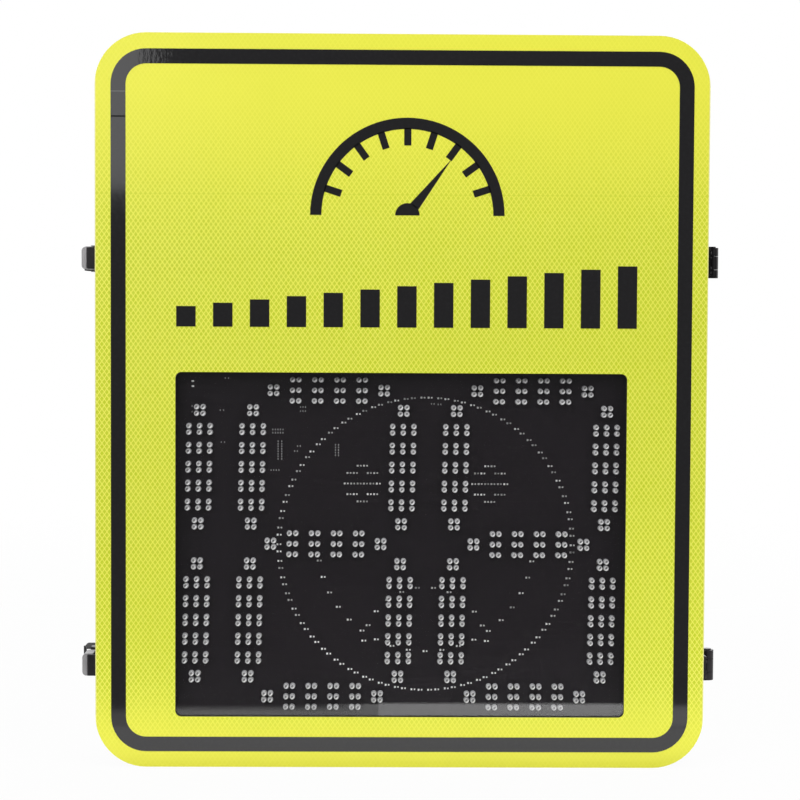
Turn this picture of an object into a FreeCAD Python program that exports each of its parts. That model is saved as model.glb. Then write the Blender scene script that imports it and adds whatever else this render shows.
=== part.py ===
import FreeCAD, Part
import math
import os

# Radar speed sign. Millimetres, +Z up, the face looks along -Y, +X is right as the driver sees it.
# The origin is the middle of the plane on which the two rear rails meet the post's brackets.

V = FreeCAD.Vector
os.makedirs("parts", exist_ok=True)

# Face
face_width = 600.0
face_height = 720.0
face_corner_radius = 50.0
panel_thickness = 2.0
sheet_thickness = 0.5
border_inset = 15.5
border_width = 14.5
border_thickness = 0.2
legend_field_height = 330.0
window_side_margin = 78.5
window_corner_radius = 6.0

# Door frame, a rolled C-section behind the panel
door_frame_depth = 24.0
door_wall = 2.5
door_lip_width = 14.0
door_lip_thickness = 2.0

# Window and display
window_gasket_thickness = 1.0
pane_thickness = 3.0
pane_overlap = 11.0
pane_clearance = 0.5
display_frame_wall = 22.0
display_frame_reveal = 3.0
display_flange_width = 10.0
display_flange_thickness = 3.0
display_frame_gap = 4.0
board_thickness = 1.6
board_inset = 2.0
led_radius = 2.9
led_height = 8.6
led_pane_gap = 1.5
led_pair_pitch = 6.3
led_file_pitch = 10.45
digit_gap = 52.4
digit_side_margin = 20.5
digit_top_margin = 18.0
digit_slant = 0.0185
board_screw_radius = 1.5
board_screw_head_radius = 2.8
board_screw_head_height = 1.8
board_screw_length = 6.0
connector_length = 52.0
connector_width = 10.0
connector_height = 7.5
stud_radius = 2.0
nut_width = 7.0
nut_height = 3.2
stud_end = 2.5

# Case
seam_gap = 3.0
case_depth = 78.0
case_wall_thickness = 2.0
case_front_lip = 14.0
case_rear_lip = 20.0
case_lip_thickness = 2.0
back_panel_thickness = 2.0
back_panel_inset = 4.0
back_screw_inset = 11.0
back_screw_radius = 2.0
back_screw_head_radius = 4.0
back_screw_head_height = 2.2
back_screw_length = 8.0
gasket_width = 9.0
gasket_clearance = 0.3

# Rear rails, hat section
rail_depth = 30.0
rail_length = 440.0
rail_crown = 42.0
rail_flange = 20.0
rail_thickness = 3.0
post_bolt_spacing_x = 130.0
post_bolt_spacing_z = 420.0
post_bolt_hole_radius = 5.5
rivet_radius = 2.4
rivet_head_radius = 4.8
rivet_head_height = 1.6
rivet_bulb_radius = 3.4
rivet_bulb_height = 2.6
rivet_end_distance = 40.0

# Cable gland in the back panel
gland_x = 190.0
gland_edge_distance = 42.0
gland_thread_radius = 10.0
gland_bore_radius = 7.5
gland_hex_width = 24.0
gland_hex_height = 6.0
gland_neck_length = 12.0
gland_inner_length = 9.0
gland_locknut_width = 27.0
gland_locknut_height = 4.5
gland_cap_radius = 12.5
gland_cap_wall = 2.2
gland_seal_length = 16.0
cable_radius = 5.0

# Equipment inside the case
equipment_plate_width = 440.0
equipment_plate_height = 320.0
equipment_plate_thickness = 1.5
equipment_plate_edge_distance = 72.0
standoff_radius = 4.0
standoff_height = 12.0
plate_screw_radius = 2.0
plate_screw_head_radius = 3.8
plate_screw_head_height = 2.2
plate_hole_inset = 14.0
supply_width = 160.0
supply_height = 100.0
supply_depth = 40.0
supply_foot_length = 9.0
supply_foot_thickness = 3.0
controller_width = 150.0
controller_height = 110.0
controller_standoff_height = 8.0
terminal_width = 96.0
terminal_height = 24.0
terminal_depth = 26.0
terminal_ways = 8
terminal_groove = 1.5
radar_width = 104.0
radar_height = 84.0
radar_depth = 22.0
radar_bracket_depth = 36.0
radar_bracket_foot = 16.0
bracket_thickness = 2.0
equipment_gap = 24.0

# Hinges
hinge_edge_distance = 98.6
hinge_spacing = 401.1
hinge_axis_offset = 7.5
hinge_knuckle_radius = 6.5
hinge_height = 30.0
hinge_middle_height = 13.0
hinge_knuckle_gap = 0.3
hinge_leaf_thickness = 3.0
hinge_leaf_height = 24.0
hinge_leaf_margin = 2.0
hinge_case_leaf_length = 22.0
hinge_pin_radius = 2.5
hinge_pin_clearance = 0.05
hinge_pin_head_radius = 4.0
hinge_pin_head_height = 1.2
hinge_screw_radius = 2.0
hinge_screw_head_radius = 3.6
hinge_screw_head_height = 1.6
hinge_screw_length = 9.0

# Draw latches
latch_edge_distance = 99.8
latch_spacing = 401.2
latch_width = 24.0
latch_sheet = 1.2
latch_side_gap = 0.4
latch_plate_thickness = 1.5
latch_pivot_setback = 12.0
latch_pivot_height = 6.0
latch_pivot_radius = 2.0
latch_crank = 9.0
latch_over_center = 0.8
latch_boss_radius = 4.2
latch_nose_height = 13.5
latch_handle_height = 19.0
latch_handle_setback = 9.0
latch_handle_length = 10.0
latch_handle_bend = 4.0
latch_lip_run = 5.0
latch_lip_height = 21.5
latch_rivet_head_height = 0.9
loop_pin_radius = 1.5
loop_arm_spacing = 13.6
loop_arm_thickness = 1.6
loop_arm_depth = 4.8
loop_width = 22.0
loop_height = 14.1
loop_bend = 4.0
loop_rear_gap = 1.8
loop_clearance = 0.3
keeper_margin = 2.0
keeper_tab_thickness = 2.0
keeper_tab_width = 9.0
keeper_tab_rise = 2.2
keeper_guard_thickness = 2.0
keeper_guard_height = 9.0
keeper_guard_gap = 2.2
keeper_guard_bevel = 1.2
latch_screw_radius = 1.6
latch_screw_head_radius = 3.0
latch_screw_head_height = 1.4
latch_screw_length = 7.0

fit_gap = 0.1

# Planes from back to front
back_outer_y = -rail_depth
case_rear_y = back_outer_y - back_panel_thickness
case_front_y = case_rear_y - case_depth
door_rear_y = case_front_y - seam_gap
panel_back_y = door_rear_y - door_frame_depth
panel_front_y = panel_back_y - panel_thickness
sheet_front_y = panel_front_y - sheet_thickness
border_front_y = sheet_front_y - border_thickness

half_width = face_width / 2
half_height = face_height / 2

# The window keeps clear of the door frame's lip at the bottom and leaves the legend field above
display_rim = display_frame_wall + display_flange_width
window_bottom_margin = door_lip_width + display_frame_gap + display_rim
window_width = face_width - 2 * window_side_margin
window_height = face_height - legend_field_height - window_bottom_margin
window_mid_z = window_bottom_margin + window_height / 2 - half_height

hinge_low_z = hinge_edge_distance - half_height
hinge_places = (("lower", hinge_low_z), ("upper", hinge_low_z + hinge_spacing))
latch_low_z = latch_edge_distance - half_height
latch_places = (("lower", latch_low_z), ("upper", latch_low_z + latch_spacing))


def outline(width, height, radius, y, mid_x=0.0, mid_z=0.0):
    """Closed rounded rectangle in a plane of constant y."""
    w = width / 2
    h = height / 2
    r = max(min(radius, w, h), 0.5)
    k = r * (1 - math.sqrt(0.5))

    def at(x, z):
        return V(mid_x + x, y, mid_z + z)

    edges = []
    corners = ((1, -1), (1, 1), (-1, 1), (-1, -1))
    for index, (sx, sz) in enumerate(corners):
        along_z = index % 2 == 0
        first = at(sx * (w - r), sz * h) if along_z else at(sx * w, sz * (h - r))
        last = at(sx * w, sz * (h - r)) if along_z else at(sx * (w - r), sz * h)
        middle = at(sx * (w - k), sz * (h - k))
        if edges:
            edges.append(Part.makeLine(edges[-1].Vertexes[-1].Point, first))
        edges.append(Part.Arc(first, middle, last).toShape())
    edges.append(Part.makeLine(edges[-1].Vertexes[-1].Point, edges[0].Vertexes[0].Point))
    return Part.Wire(edges)


def slab(width, height, radius, y0, y1, mid_x=0.0, mid_z=0.0):
    wire = outline(width, height, radius, min(y0, y1), mid_x, mid_z)
    return Part.Face(wire).extrude(V(0, abs(y1 - y0), 0))


def face_ring(outer_inset, inner_inset, y0, y1):
    """Ring that follows the face's outline between two insets."""
    rims = []
    for inset, y_a, y_b in ((outer_inset, y0, y1), (inner_inset, min(y0, y1) - 1, max(y0, y1) + 1)):
        radius = face_corner_radius - inset
        rims.append(slab(face_width - 2 * inset, face_height - 2 * inset, radius, y_a, y_b))
    return rims[0].cut(rims[1])


def window_slab(margin, radius, y0, y1):
    """Slab that follows the window's outline, larger by the margin."""
    return slab(window_width + 2 * margin, window_height + 2 * margin, radius, y0, y1, 0.0, window_mid_z)


def window_ring(outer_margin, inner_margin, y0, y1):
    outer = window_slab(outer_margin, window_corner_radius, y0, y1)
    low, high = min(y0, y1) - 1, max(y0, y1) + 1
    return outer.cut(window_slab(inner_margin, window_corner_radius, low, high))


def block(x0, x1, y0, y1, z0, z1):
    corner = V(min(x0, x1), min(y0, y1), min(z0, z1))
    return Part.makeBox(abs(x1 - x0), abs(y1 - y0), abs(z1 - z0), corner)


def rod(radius, start, end):
    axis = end - start
    return Part.makeCylinder(radius, axis.Length, start, axis)


def rod_y(radius, x, z, y0, y1):
    return rod(radius, V(x, y0, z), V(x, y1, z))


def prism_y(width_across_flats, x, z, y0, y1, turn=0.0):
    """Hexagonal prism along y."""
    reach = width_across_flats / math.sqrt(3)
    points = []
    for step in range(7):
        angle = math.radians(60 * step + turn)
        points.append(V(x + reach * math.cos(angle), y0, z + reach * math.sin(angle)))
    return Part.Face(Part.makePolygon(points)).extrude(V(0, y1 - y0, 0))


def join(pieces):
    return pieces[0].multiFuse(pieces[1:]).removeSplitter()


def drill_y(shape, holes, y0, y1):
    """Cuts round holes along y: each hole is (radius, x, z)."""
    tools = [rod_y(radius, x, z, min(y0, y1) - 1, max(y0, y1) + 1) for radius, x, z in holes]
    return shape.cut(Part.makeCompound(tools))


def save(name, shape):
    shape.exportStep("parts/" + name + ".step")


def solids(pieces):
    return Part.makeCompound(pieces)


# Face panel with its window, the reflective sheet on it and the border film on that
plain_panel = slab(face_width, face_height, face_corner_radius, panel_front_y, panel_back_y)
window_cut = window_slab(0.0, window_corner_radius, border_front_y - 1, panel_back_y + 1)
save("face_panel", plain_panel.cut(window_cut))
plain_sheet = slab(face_width, face_height, face_corner_radius, sheet_front_y, panel_front_y)
save("reflective_sheet", plain_sheet.cut(window_cut))
save("border_film", face_ring(border_inset, border_inset + border_width, border_front_y, sheet_front_y))

# Door frame: C-section with a lip behind the panel and a lip that presses the gasket
frame_wall = face_ring(0.0, door_wall, panel_back_y, door_rear_y)
frame_front_lip = face_ring(0.0, door_lip_width, panel_back_y, panel_back_y + door_lip_thickness)
frame_rear_lip = face_ring(0.0, door_lip_width, door_rear_y - door_lip_thickness, door_rear_y)
door_frame = join([frame_wall, frame_front_lip, frame_rear_lip])

# Window: gasket and pane lie in the display frame's rebate against the panel
gasket_back_y = panel_back_y + window_gasket_thickness
pane_back_y = gasket_back_y + pane_thickness
frame_rear_y = pane_back_y + led_pane_gap + led_height
board_rear_y = frame_rear_y + board_thickness
save("window_gasket", window_ring(pane_overlap, 1.0, panel_back_y, gasket_back_y))
save("window_pane", window_slab(pane_overlap, window_corner_radius, gasket_back_y, pane_back_y))


def around_window(margin, count_x, count_z, spread):
    """Points along a rectangle around the window; the spread sets how near the corners they go."""
    x_line = window_width / 2 + margin
    z_line = window_height / 2 + margin
    points = []
    for sign in (-1, 1):
        for step in range(count_x):
            share = spread * (2 * step / (count_x - 1) - 1)
            points.append((share * window_width / 2, window_mid_z + sign * z_line))
        for step in range(count_z):
            share = spread * (2 * step / (count_z - 1) - 1)
            points.append((sign * x_line, window_mid_z + share * window_height / 2))
    return points


stud_points = around_window(display_frame_wall + display_flange_width / 2, 4, 3, 0.86)
board_screw_points = around_window((display_frame_reveal + display_frame_wall) / 2, 4, 3, 0.95)

frame_body = window_ring(display_frame_wall, display_frame_reveal, panel_back_y, frame_rear_y)
frame_flange = window_ring(display_rim, display_frame_wall - 2, panel_back_y,
                           panel_back_y + display_flange_thickness)
display_frame = join([frame_body, frame_flange])
rebate = window_slab(pane_overlap + pane_clearance, window_corner_radius, panel_back_y - 1, pane_back_y)
display_frame = display_frame.cut(rebate)
stud_holes = [(stud_radius + fit_gap, x, z) for x, z in stud_points]
display_frame = drill_y(display_frame, stud_holes, panel_back_y, panel_back_y + display_flange_thickness)
screw_depth_y = board_rear_y - board_screw_length
thread_holes = [(board_screw_radius + fit_gap / 2, x, z) for x, z in board_screw_points]
display_frame = drill_y(display_frame, thread_holes, screw_depth_y, frame_rear_y)
save("display_frame", display_frame)

# Studs on the panel and the nuts that hold the display frame
flange_rear_y = panel_back_y + display_flange_thickness
nut_rear_y = flange_rear_y + nut_height
studs = []
nuts = []
for x, z in stud_points:
    studs.append(rod_y(stud_radius, x, z, panel_back_y, nut_rear_y + stud_end))
    nut = prism_y(nut_width, x, z, flange_rear_y, nut_rear_y)
    nuts.append(nut.cut(rod_y(stud_radius + fit_gap / 2, x, z, flange_rear_y - 1, nut_rear_y + 1)))
save("frame_studs", solids(studs))
save("frame_nuts", solids(nuts))

# Display board on the back of the display frame, with its screws
board_margin = display_frame_wall - board_inset
display_board = window_slab(board_margin, 3.0, frame_rear_y, board_rear_y)
board_holes = [(board_screw_radius + fit_gap, x, z) for x, z in board_screw_points]
save("display_board", drill_y(display_board, board_holes, frame_rear_y, board_rear_y))
board_screws = []
for x, z in board_screw_points:
    shank = rod_y(board_screw_radius, x, z, screw_depth_y + 0.5, board_rear_y)
    head = rod_y(board_screw_head_radius, x, z, board_rear_y, board_rear_y + board_screw_head_height)
    board_screws.append(join([shank, head]))
save("board_screws", solids(board_screws))
connector_x = 0.3 * window_width
save("display_connector", block(connector_x - connector_length / 2, connector_x + connector_length / 2,
                                board_rear_y, board_rear_y + connector_height,
                                window_mid_z - connector_width / 2, window_mid_z + connector_width / 2))

# LEDs of the digits. A bar has groups of four at its ends and files of pairs between them.
digit_width = (window_width - 2 * digit_side_margin - 2 * digit_gap) / 2
bar_reach = (window_height - 2 * digit_top_margin) / 4
upright_step = bar_reach * 0.2463
level_step = digit_width * 0.1467
half_pair = led_pair_pitch / 2


def group_of_four(x, z):
    return [(x + sx * half_pair, z + sz * half_pair) for sx in (-1, 1) for sz in (-1, 1)]


def upright_bar(x, z):
    spots = group_of_four(x, z - 3 * upright_step) + group_of_four(x, z + 3 * upright_step)
    for row in (-2, -1, 0, 1, 2):
        for file in (-1, 0, 1):
            for sign in (-1, 1):
                spots.append((x + file * led_file_pitch, z + row * upright_step + sign * half_pair))
    return spots


def level_bar(x, z):
    spots = group_of_four(x - 2.5 * level_step, z) + group_of_four(x + 2.5 * level_step, z)
    for column in (-1.5, -0.5, 0.5, 1.5):
        for row in (-1, 0, 1):
            for sign in (-1, 1):
                spots.append((x + column * level_step + sign * half_pair, z + row * led_file_pitch))
    return spots


left_column = digit_side_margin - window_width / 2
digit_starts = (left_column + digit_gap, left_column + 2 * digit_gap + digit_width)
columns = [left_column]
for start in digit_starts:
    columns += [start, start + digit_width]
led_spots = []
for x in columns:
    led_spots += upright_bar(x, bar_reach) + upright_bar(x, -bar_reach)
for start in digit_starts:
    for z in (-2 * bar_reach, 0.0, 2 * bar_reach):
        led_spots += level_bar(start + digit_width / 2, z)
leds = []
for x, z in led_spots:
    lean = digit_slant * z
    leds.append(prism_y(led_radius * 1.82, x + lean, window_mid_z + z,
                        frame_rear_y - led_height, frame_rear_y, 30.0))
save("digit_leds", solids(leds))

# Case: rolled wall with a lip at the front for the gasket and a lip at the back for the panel
case_tube = face_ring(0.0, case_wall_thickness, case_front_y, case_rear_y)
case_lip_front = face_ring(0.0, case_front_lip, case_front_y, case_front_y + case_lip_thickness)
case_lip_rear = face_ring(0.0, case_rear_lip, case_rear_y - case_lip_thickness, case_rear_y)
case_wall = join([case_tube, case_lip_front, case_lip_rear])
gasket_inset = (case_front_lip - gasket_width) / 2
save("door_gasket", face_ring(gasket_inset, gasket_inset + gasket_width,
                              case_front_y - seam_gap + gasket_clearance, case_front_y))

# Back panel with its screws
screw_x = half_width - back_screw_inset
screw_z = half_height - back_screw_inset
back_screw_points = []
for sign in (-1, 1):
    for share in (-0.72, -0.24, 0.24, 0.72):
        back_screw_points.append((share * screw_x, sign * screw_z))
        back_screw_points.append((sign * screw_x, share * screw_z))
wall_holes = [(back_screw_radius + fit_gap / 2, x, z) for x, z in back_screw_points]
case_wall = drill_y(case_wall, wall_holes, case_rear_y - case_lip_thickness, case_rear_y)
back_screws = []
for x, z in back_screw_points:
    shank = rod_y(back_screw_radius, x, z, back_outer_y - back_screw_length, back_outer_y)
    head = rod_y(back_screw_head_radius, x, z, back_outer_y, back_outer_y + back_screw_head_height)
    back_screws.append(join([shank, head]))
save("back_panel_screws", solids(back_screws))

# Rear rails: crown towards the post, flanges riveted to the back panel
rail_heights = (("lower", -post_bolt_spacing_z / 2), ("upper", post_bolt_spacing_z / 2))
crown_half = rail_crown / 2
rail_half = crown_half + rail_flange
rivet_points = []


def rail_profile(z):
    t = rail_thickness
    low = -rail_depth
    return [(low, -rail_half), (low + t, -rail_half), (low + t, -crown_half), (0.0, -crown_half),
            (0.0, crown_half), (low + t, crown_half), (low + t, rail_half), (low, rail_half),
            (low, crown_half - t), (-t, crown_half - t), (-t, t - crown_half), (low, t - crown_half),
            (low, -rail_half)]


for side, z in rail_heights:
    start = -rail_length / 2
    points = [V(start, y, z + dz) for y, dz in rail_profile(z)]
    rail = Part.Face(Part.makePolygon(points)).extrude(V(rail_length, 0, 0))
    bolt_holes = [(post_bolt_hole_radius, sx * post_bolt_spacing_x / 2, z) for sx in (-1, 1)]
    rail = drill_y(rail, bolt_holes, -rail_thickness, 0.0)
    flange_holes = []
    for sz in (-1, 1):
        for sx in (-1, 1):
            spot = (sx * (rail_length / 2 - rivet_end_distance), z + sz * (crown_half + rail_flange / 2))
            rivet_points.append(spot)
            flange_holes.append((rivet_radius + fit_gap, spot[0], spot[1]))
    rail = drill_y(rail, flange_holes, back_outer_y, back_outer_y + rail_thickness)
    save(side + "_mount_rail", rail)

rivet_head_y = back_outer_y + rail_thickness
rivets = []
for x, z in rivet_points:
    shank = rod_y(rivet_radius, x, z, case_rear_y, rivet_head_y)
    head = rod_y(rivet_head_radius, x, z, rivet_head_y, rivet_head_y + rivet_head_height)
    bulb = rod_y(rivet_bulb_radius, x, z, case_rear_y - rivet_bulb_height, case_rear_y)
    rivets.append(join([shank, head, bulb]))
save("rail_rivets", solids(rivets))

# Cable gland
gland_z = gland_edge_distance - half_height
neck_end_y = back_outer_y + gland_hex_height + gland_neck_length
cap_end_y = neck_end_y + gland_cap_wall + 1.0
neck_radius = gland_thread_radius - 0.5
hex_flange = prism_y(gland_hex_width, gland_x, gland_z, back_outer_y, back_outer_y + gland_hex_height)
inner_tube = rod_y(gland_thread_radius, gland_x, gland_z, case_rear_y - gland_inner_length, back_outer_y)
neck = rod_y(neck_radius, gland_x, gland_z, back_outer_y + gland_hex_height, neck_end_y)
gland_body = join([hex_flange, inner_tube, neck])
gland_tail_y = case_rear_y - gland_inner_length
save("gland_body", drill_y(gland_body, [(gland_bore_radius, gland_x, gland_z)], gland_tail_y, neck_end_y))
locknut = prism_y(gland_locknut_width, gland_x, gland_z, case_rear_y - gland_locknut_height, case_rear_y)
save("gland_locknut", drill_y(locknut, [(gland_thread_radius + fit_gap, gland_x, gland_z)],
                              gland_tail_y, case_rear_y))
cap_start_y = back_outer_y + gland_hex_height + 0.3
cap = rod_y(gland_cap_radius, gland_x, gland_z, cap_start_y, cap_end_y)
rim_edge = [edge for edge in cap.Edges if abs(edge.CenterOfMass.y - cap_end_y) < 0.01]
cap = cap.makeFillet(min(2.0, gland_cap_wall), rim_edge)
cap = cap.cut(rod_y(neck_radius + fit_gap, gland_x, gland_z, cap_start_y - 1, neck_end_y + 0.5))
save("gland_cap", drill_y(cap, [(gland_bore_radius + fit_gap, gland_x, gland_z)], cap_start_y, cap_end_y))
seal = rod_y(gland_bore_radius - fit_gap, gland_x, gland_z, cap_end_y - gland_seal_length, cap_end_y)
save("gland_seal", drill_y(seal, [(cable_radius, gland_x, gland_z)],
                           cap_end_y - gland_seal_length, cap_end_y))

# Equipment plate on standoffs
plate_rear_y = case_rear_y - standoff_height
plate_front_y = plate_rear_y - equipment_plate_thickness
plate_mid_z = equipment_plate_edge_distance + equipment_plate_height / 2 - half_height
plate_top_z = plate_mid_z + equipment_plate_height / 2
plate_points = []
for sx in (-1, 1):
    for sz in (-1, 1):
        plate_points.append((sx * (equipment_plate_width / 2 - plate_hole_inset),
                             plate_mid_z + sz * (equipment_plate_height / 2 - plate_hole_inset)))
plate = slab(equipment_plate_width, equipment_plate_height, 4.0, plate_front_y, plate_rear_y,
             0.0, plate_mid_z)
plate_holes = [(plate_screw_radius + fit_gap, x, z) for x, z in plate_points]
save("equipment_plate", drill_y(plate, plate_holes, plate_front_y, plate_rear_y))
standoffs = []
plate_screws = []
for x, z in plate_points:
    post = rod_y(standoff_radius, x, z, plate_rear_y, case_rear_y)
    standoffs.append(drill_y(post, [(plate_screw_radius + fit_gap / 2, x, z)],
                             plate_rear_y, plate_rear_y + 7))
    shank = rod_y(plate_screw_radius, x, z, plate_front_y, plate_rear_y + 6)
    head = rod_y(plate_screw_head_radius, x, z, plate_front_y - plate_screw_head_height, plate_front_y)
    plate_screws.append(join([shank, head]))
save("plate_standoffs", solids(standoffs))
save("plate_screws", solids(plate_screws))

back_panel = slab(face_width - 2 * back_panel_inset, face_height - 2 * back_panel_inset,
                  face_corner_radius - back_panel_inset, case_rear_y, back_outer_y)
back_holes = [(back_screw_radius + fit_gap, x, z) for x, z in back_screw_points]
back_holes += [(rivet_radius + fit_gap, x, z) for x, z in rivet_points]
back_holes.append((gland_thread_radius + fit_gap, gland_x, gland_z))
save("back_panel", drill_y(back_panel, back_holes, case_rear_y, back_outer_y))

# Devices on the plate: supply low on the left, terminals under the controller on the right, radar above
row_x = equipment_plate_width / 4
supply_z = plate_mid_z - equipment_plate_height / 2 + plate_hole_inset + equipment_gap + supply_height / 2
supply = block(-row_x - supply_width / 2, -row_x + supply_width / 2,
               plate_front_y - supply_depth, plate_front_y,
               supply_z - supply_height / 2, supply_z + supply_height / 2)
upright_edges = [edge for edge in supply.Edges if abs(edge.tangentAt(0).z) > 0.9]
supply = supply.makeChamfer(1.5, upright_edges)
foot_reach = supply_width / 2 + supply_foot_length
supply_feet = block(-row_x - foot_reach, -row_x + foot_reach,
                    plate_front_y - supply_foot_thickness, plate_front_y,
                    supply_z - supply_height / 2, supply_z + supply_height / 2)
save("power_supply", join([supply, supply_feet]))

terminal_z = supply_z - supply_height / 2 + terminal_height / 2
terminal_front_y = plate_front_y - terminal_depth
terminal = block(row_x - terminal_width / 2, row_x + terminal_width / 2, terminal_front_y, plate_front_y,
                 terminal_z - terminal_height / 2, terminal_z + terminal_height / 2)
grooves = []
for way in range(1, terminal_ways):
    x = row_x - terminal_width / 2 + way * terminal_width / terminal_ways
    grooves.append(block(x - terminal_groove / 2, x + terminal_groove / 2, terminal_front_y - 1,
                         terminal_front_y + terminal_groove,
                         terminal_z - terminal_height, terminal_z + terminal_height))
save("terminal_block", terminal.cut(Part.makeCompound(grooves)))

controller_z = terminal_z + terminal_height / 2 + equipment_gap + controller_height / 2
controller_rear_y = plate_front_y - controller_standoff_height
controller_front_y = controller_rear_y - board_thickness
save("controller_board", slab(controller_width, controller_height, 2.0, controller_front_y, controller_rear_y,
                              row_x, controller_z))
posts = []
for sx in (-1, 1):
    for sz in (-1, 1):
        posts.append(rod_y(standoff_radius * 0.75, row_x + sx * (controller_width / 2 - 5),
                           controller_z + sz * (controller_height / 2 - 5), controller_rear_y, plate_front_y))
save("controller_standoffs", solids(posts))

radar_z = supply_z + supply_height / 2 + equipment_gap + radar_height / 2
bracket_front_y = plate_front_y - radar_bracket_depth
bracket_half = radar_width / 2
t = bracket_thickness
bracket_points = [(-bracket_half - radar_bracket_foot, plate_front_y),
                  (-bracket_half - radar_bracket_foot, plate_front_y - t),
                  (-bracket_half, plate_front_y - t), (-bracket_half, bracket_front_y),
                  (bracket_half, bracket_front_y), (bracket_half, plate_front_y - t),
                  (bracket_half + radar_bracket_foot, plate_front_y - t),
                  (bracket_half + radar_bracket_foot, plate_front_y),
                  (bracket_half - t, plate_front_y), (bracket_half - t, bracket_front_y + t),
                  (t - bracket_half, bracket_front_y + t), (t - bracket_half, plate_front_y)]
bracket_wire = [V(-row_x + dx, y, radar_z - radar_height * 0.35) for dx, y in bracket_points]
bracket = Part.Face(Part.makePolygon(bracket_wire + bracket_wire[:1])).extrude(V(0, 0, radar_height * 0.7))
save("radar_bracket", bracket)
radar_base = slab(radar_width, radar_height, 6.0, bracket_front_y - radar_depth * 0.6, bracket_front_y,
                  -row_x, radar_z)
radar_dome = slab(radar_width - 12, radar_height - 12, 5.0, bracket_front_y - radar_depth,
                  bracket_front_y - radar_depth * 0.6, -row_x, radar_z)
save("radar_sensor", join([radar_base, radar_dome]))


# Places on the side walls. Reach counts outwards from the wall, ahead counts forwards from the door's back.
def side_point(side, ahead, reach, z):
    return V(side * (half_width + reach), door_rear_y - ahead, z)


def side_block(side, ahead0, ahead1, reach0, reach1, z0, z1):
    a = side_point(side, ahead0, reach0, z0)
    b = side_point(side, ahead1, reach1, z1)
    return block(a.x, b.x, a.y, b.y, a.z, b.z)


def side_plate(side, points, z0, z1):
    """Flat plate from an outline of (ahead, reach) points, between two heights."""
    wire = Part.makePolygon([side_point(side, ahead, reach, z0) for ahead, reach in points + points[:1]])
    return Part.Face(wire).extrude(V(0, 0, z1 - z0))


def upright_rod(side, ahead, reach, radius, z0, z1):
    return rod(radius, side_point(side, ahead, reach, z0), side_point(side, ahead, reach, z1))


def side_rod(side, ahead, z, radius, reach0, reach1):
    return rod(radius, side_point(side, ahead, reach0, z), side_point(side, ahead, reach1, z))


def side_screw(side, ahead, z, seat, radius, length, head_radius, head_height):
    shank = side_rod(side, ahead, z, radius, seat - length, seat)
    head = side_rod(side, ahead, z, head_radius, seat, seat + head_height)
    return join([shank, head])


# Hinges on the right: three knuckles on a pin, the middle one belongs to the door
hinge_ahead = -seam_gap / 2
knuckle_reach = hinge_axis_offset
leaf_clear = hinge_knuckle_radius + hinge_leaf_margin / 2
door_leaf_end = door_frame_depth - hinge_leaf_margin
case_leaf_end = -seam_gap - hinge_case_leaf_length
middle_half = hinge_middle_height / 2
hinge_half = hinge_height / 2
leaf_half = hinge_leaf_height / 2
pins = []
case_hinge_screws = []
door_hinge_screws = []
hinge_case_holes = []
hinge_door_holes = []
for place, z in hinge_places:
    pin_hole = upright_rod(1, hinge_ahead, knuckle_reach, hinge_pin_radius + hinge_pin_clearance,
                           z - hinge_half - 1, z + hinge_half + 1)
    leaf_mid = (hinge_ahead + leaf_clear + door_leaf_end) / 2
    case_mid = (hinge_ahead - leaf_clear + case_leaf_end) / 2
    screw_rise = hinge_leaf_height * 0.3

    door_plate = side_block(1, hinge_ahead + leaf_clear, door_leaf_end, 0.0, hinge_leaf_thickness,
                            z - leaf_half, z + leaf_half)
    door_tongue = side_block(1, hinge_ahead, hinge_ahead + leaf_clear, knuckle_reach - hinge_knuckle_radius,
                             hinge_leaf_thickness, z - middle_half, z + middle_half)
    door_knuckle = upright_rod(1, hinge_ahead, knuckle_reach, hinge_knuckle_radius,
                               z - middle_half, z + middle_half)
    door_leaf = join([door_plate, door_tongue, door_knuckle]).cut(pin_hole)

    case_parts = [side_block(1, case_leaf_end, hinge_ahead - leaf_clear, 0.0, hinge_leaf_thickness,
                             z - hinge_half, z + hinge_half)]
    for z0, z1 in ((z - hinge_half, z - middle_half - hinge_knuckle_gap),
                   (z + middle_half + hinge_knuckle_gap, z + hinge_half)):
        case_parts.append(side_block(1, hinge_ahead - leaf_clear, hinge_ahead,
                                     knuckle_reach - hinge_knuckle_radius, hinge_leaf_thickness, z0, z1))
        case_parts.append(upright_rod(1, hinge_ahead, knuckle_reach, hinge_knuckle_radius, z0, z1))
    case_leaf = join(case_parts).cut(pin_hole)

    for sign in (-1, 1):
        screw_level = z + sign * screw_rise
        hinge_door_holes.append((leaf_mid, screw_level))
        hinge_case_holes.append((case_mid, screw_level))
        reach = hinge_leaf_thickness
        hole_radius = hinge_screw_radius + fit_gap
        door_leaf = door_leaf.cut(side_rod(1, leaf_mid, screw_level, hole_radius, -1.0, reach + 1))
        case_leaf = case_leaf.cut(side_rod(1, case_mid, screw_level, hole_radius, -1.0, reach + 1))
        for ahead, group in ((leaf_mid, door_hinge_screws), (case_mid, case_hinge_screws)):
            group.append(side_screw(1, ahead, screw_level, reach, hinge_screw_radius, hinge_screw_length,
                                    hinge_screw_head_radius, hinge_screw_head_height))
    save(place + "_hinge_door_leaf", door_leaf)
    save(place + "_hinge_case_leaf", case_leaf)
    shaft = upright_rod(1, hinge_ahead, knuckle_reach, hinge_pin_radius, z - hinge_half, z + hinge_half)
    top = upright_rod(1, hinge_ahead, knuckle_reach, hinge_pin_head_radius, z + hinge_half,
                      z + hinge_half + hinge_pin_head_height)
    pins.append(join([shaft, top]))
save("hinge_pins", solids(pins))
save("door_hinge_screws", solids(door_hinge_screws))
save("case_hinge_screws", solids(case_hinge_screws))
for ahead, z in hinge_door_holes:
    door_frame = door_frame.cut(side_rod(1, ahead, z, hinge_screw_radius + fit_gap, -door_wall - 1, 1.0))
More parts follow.
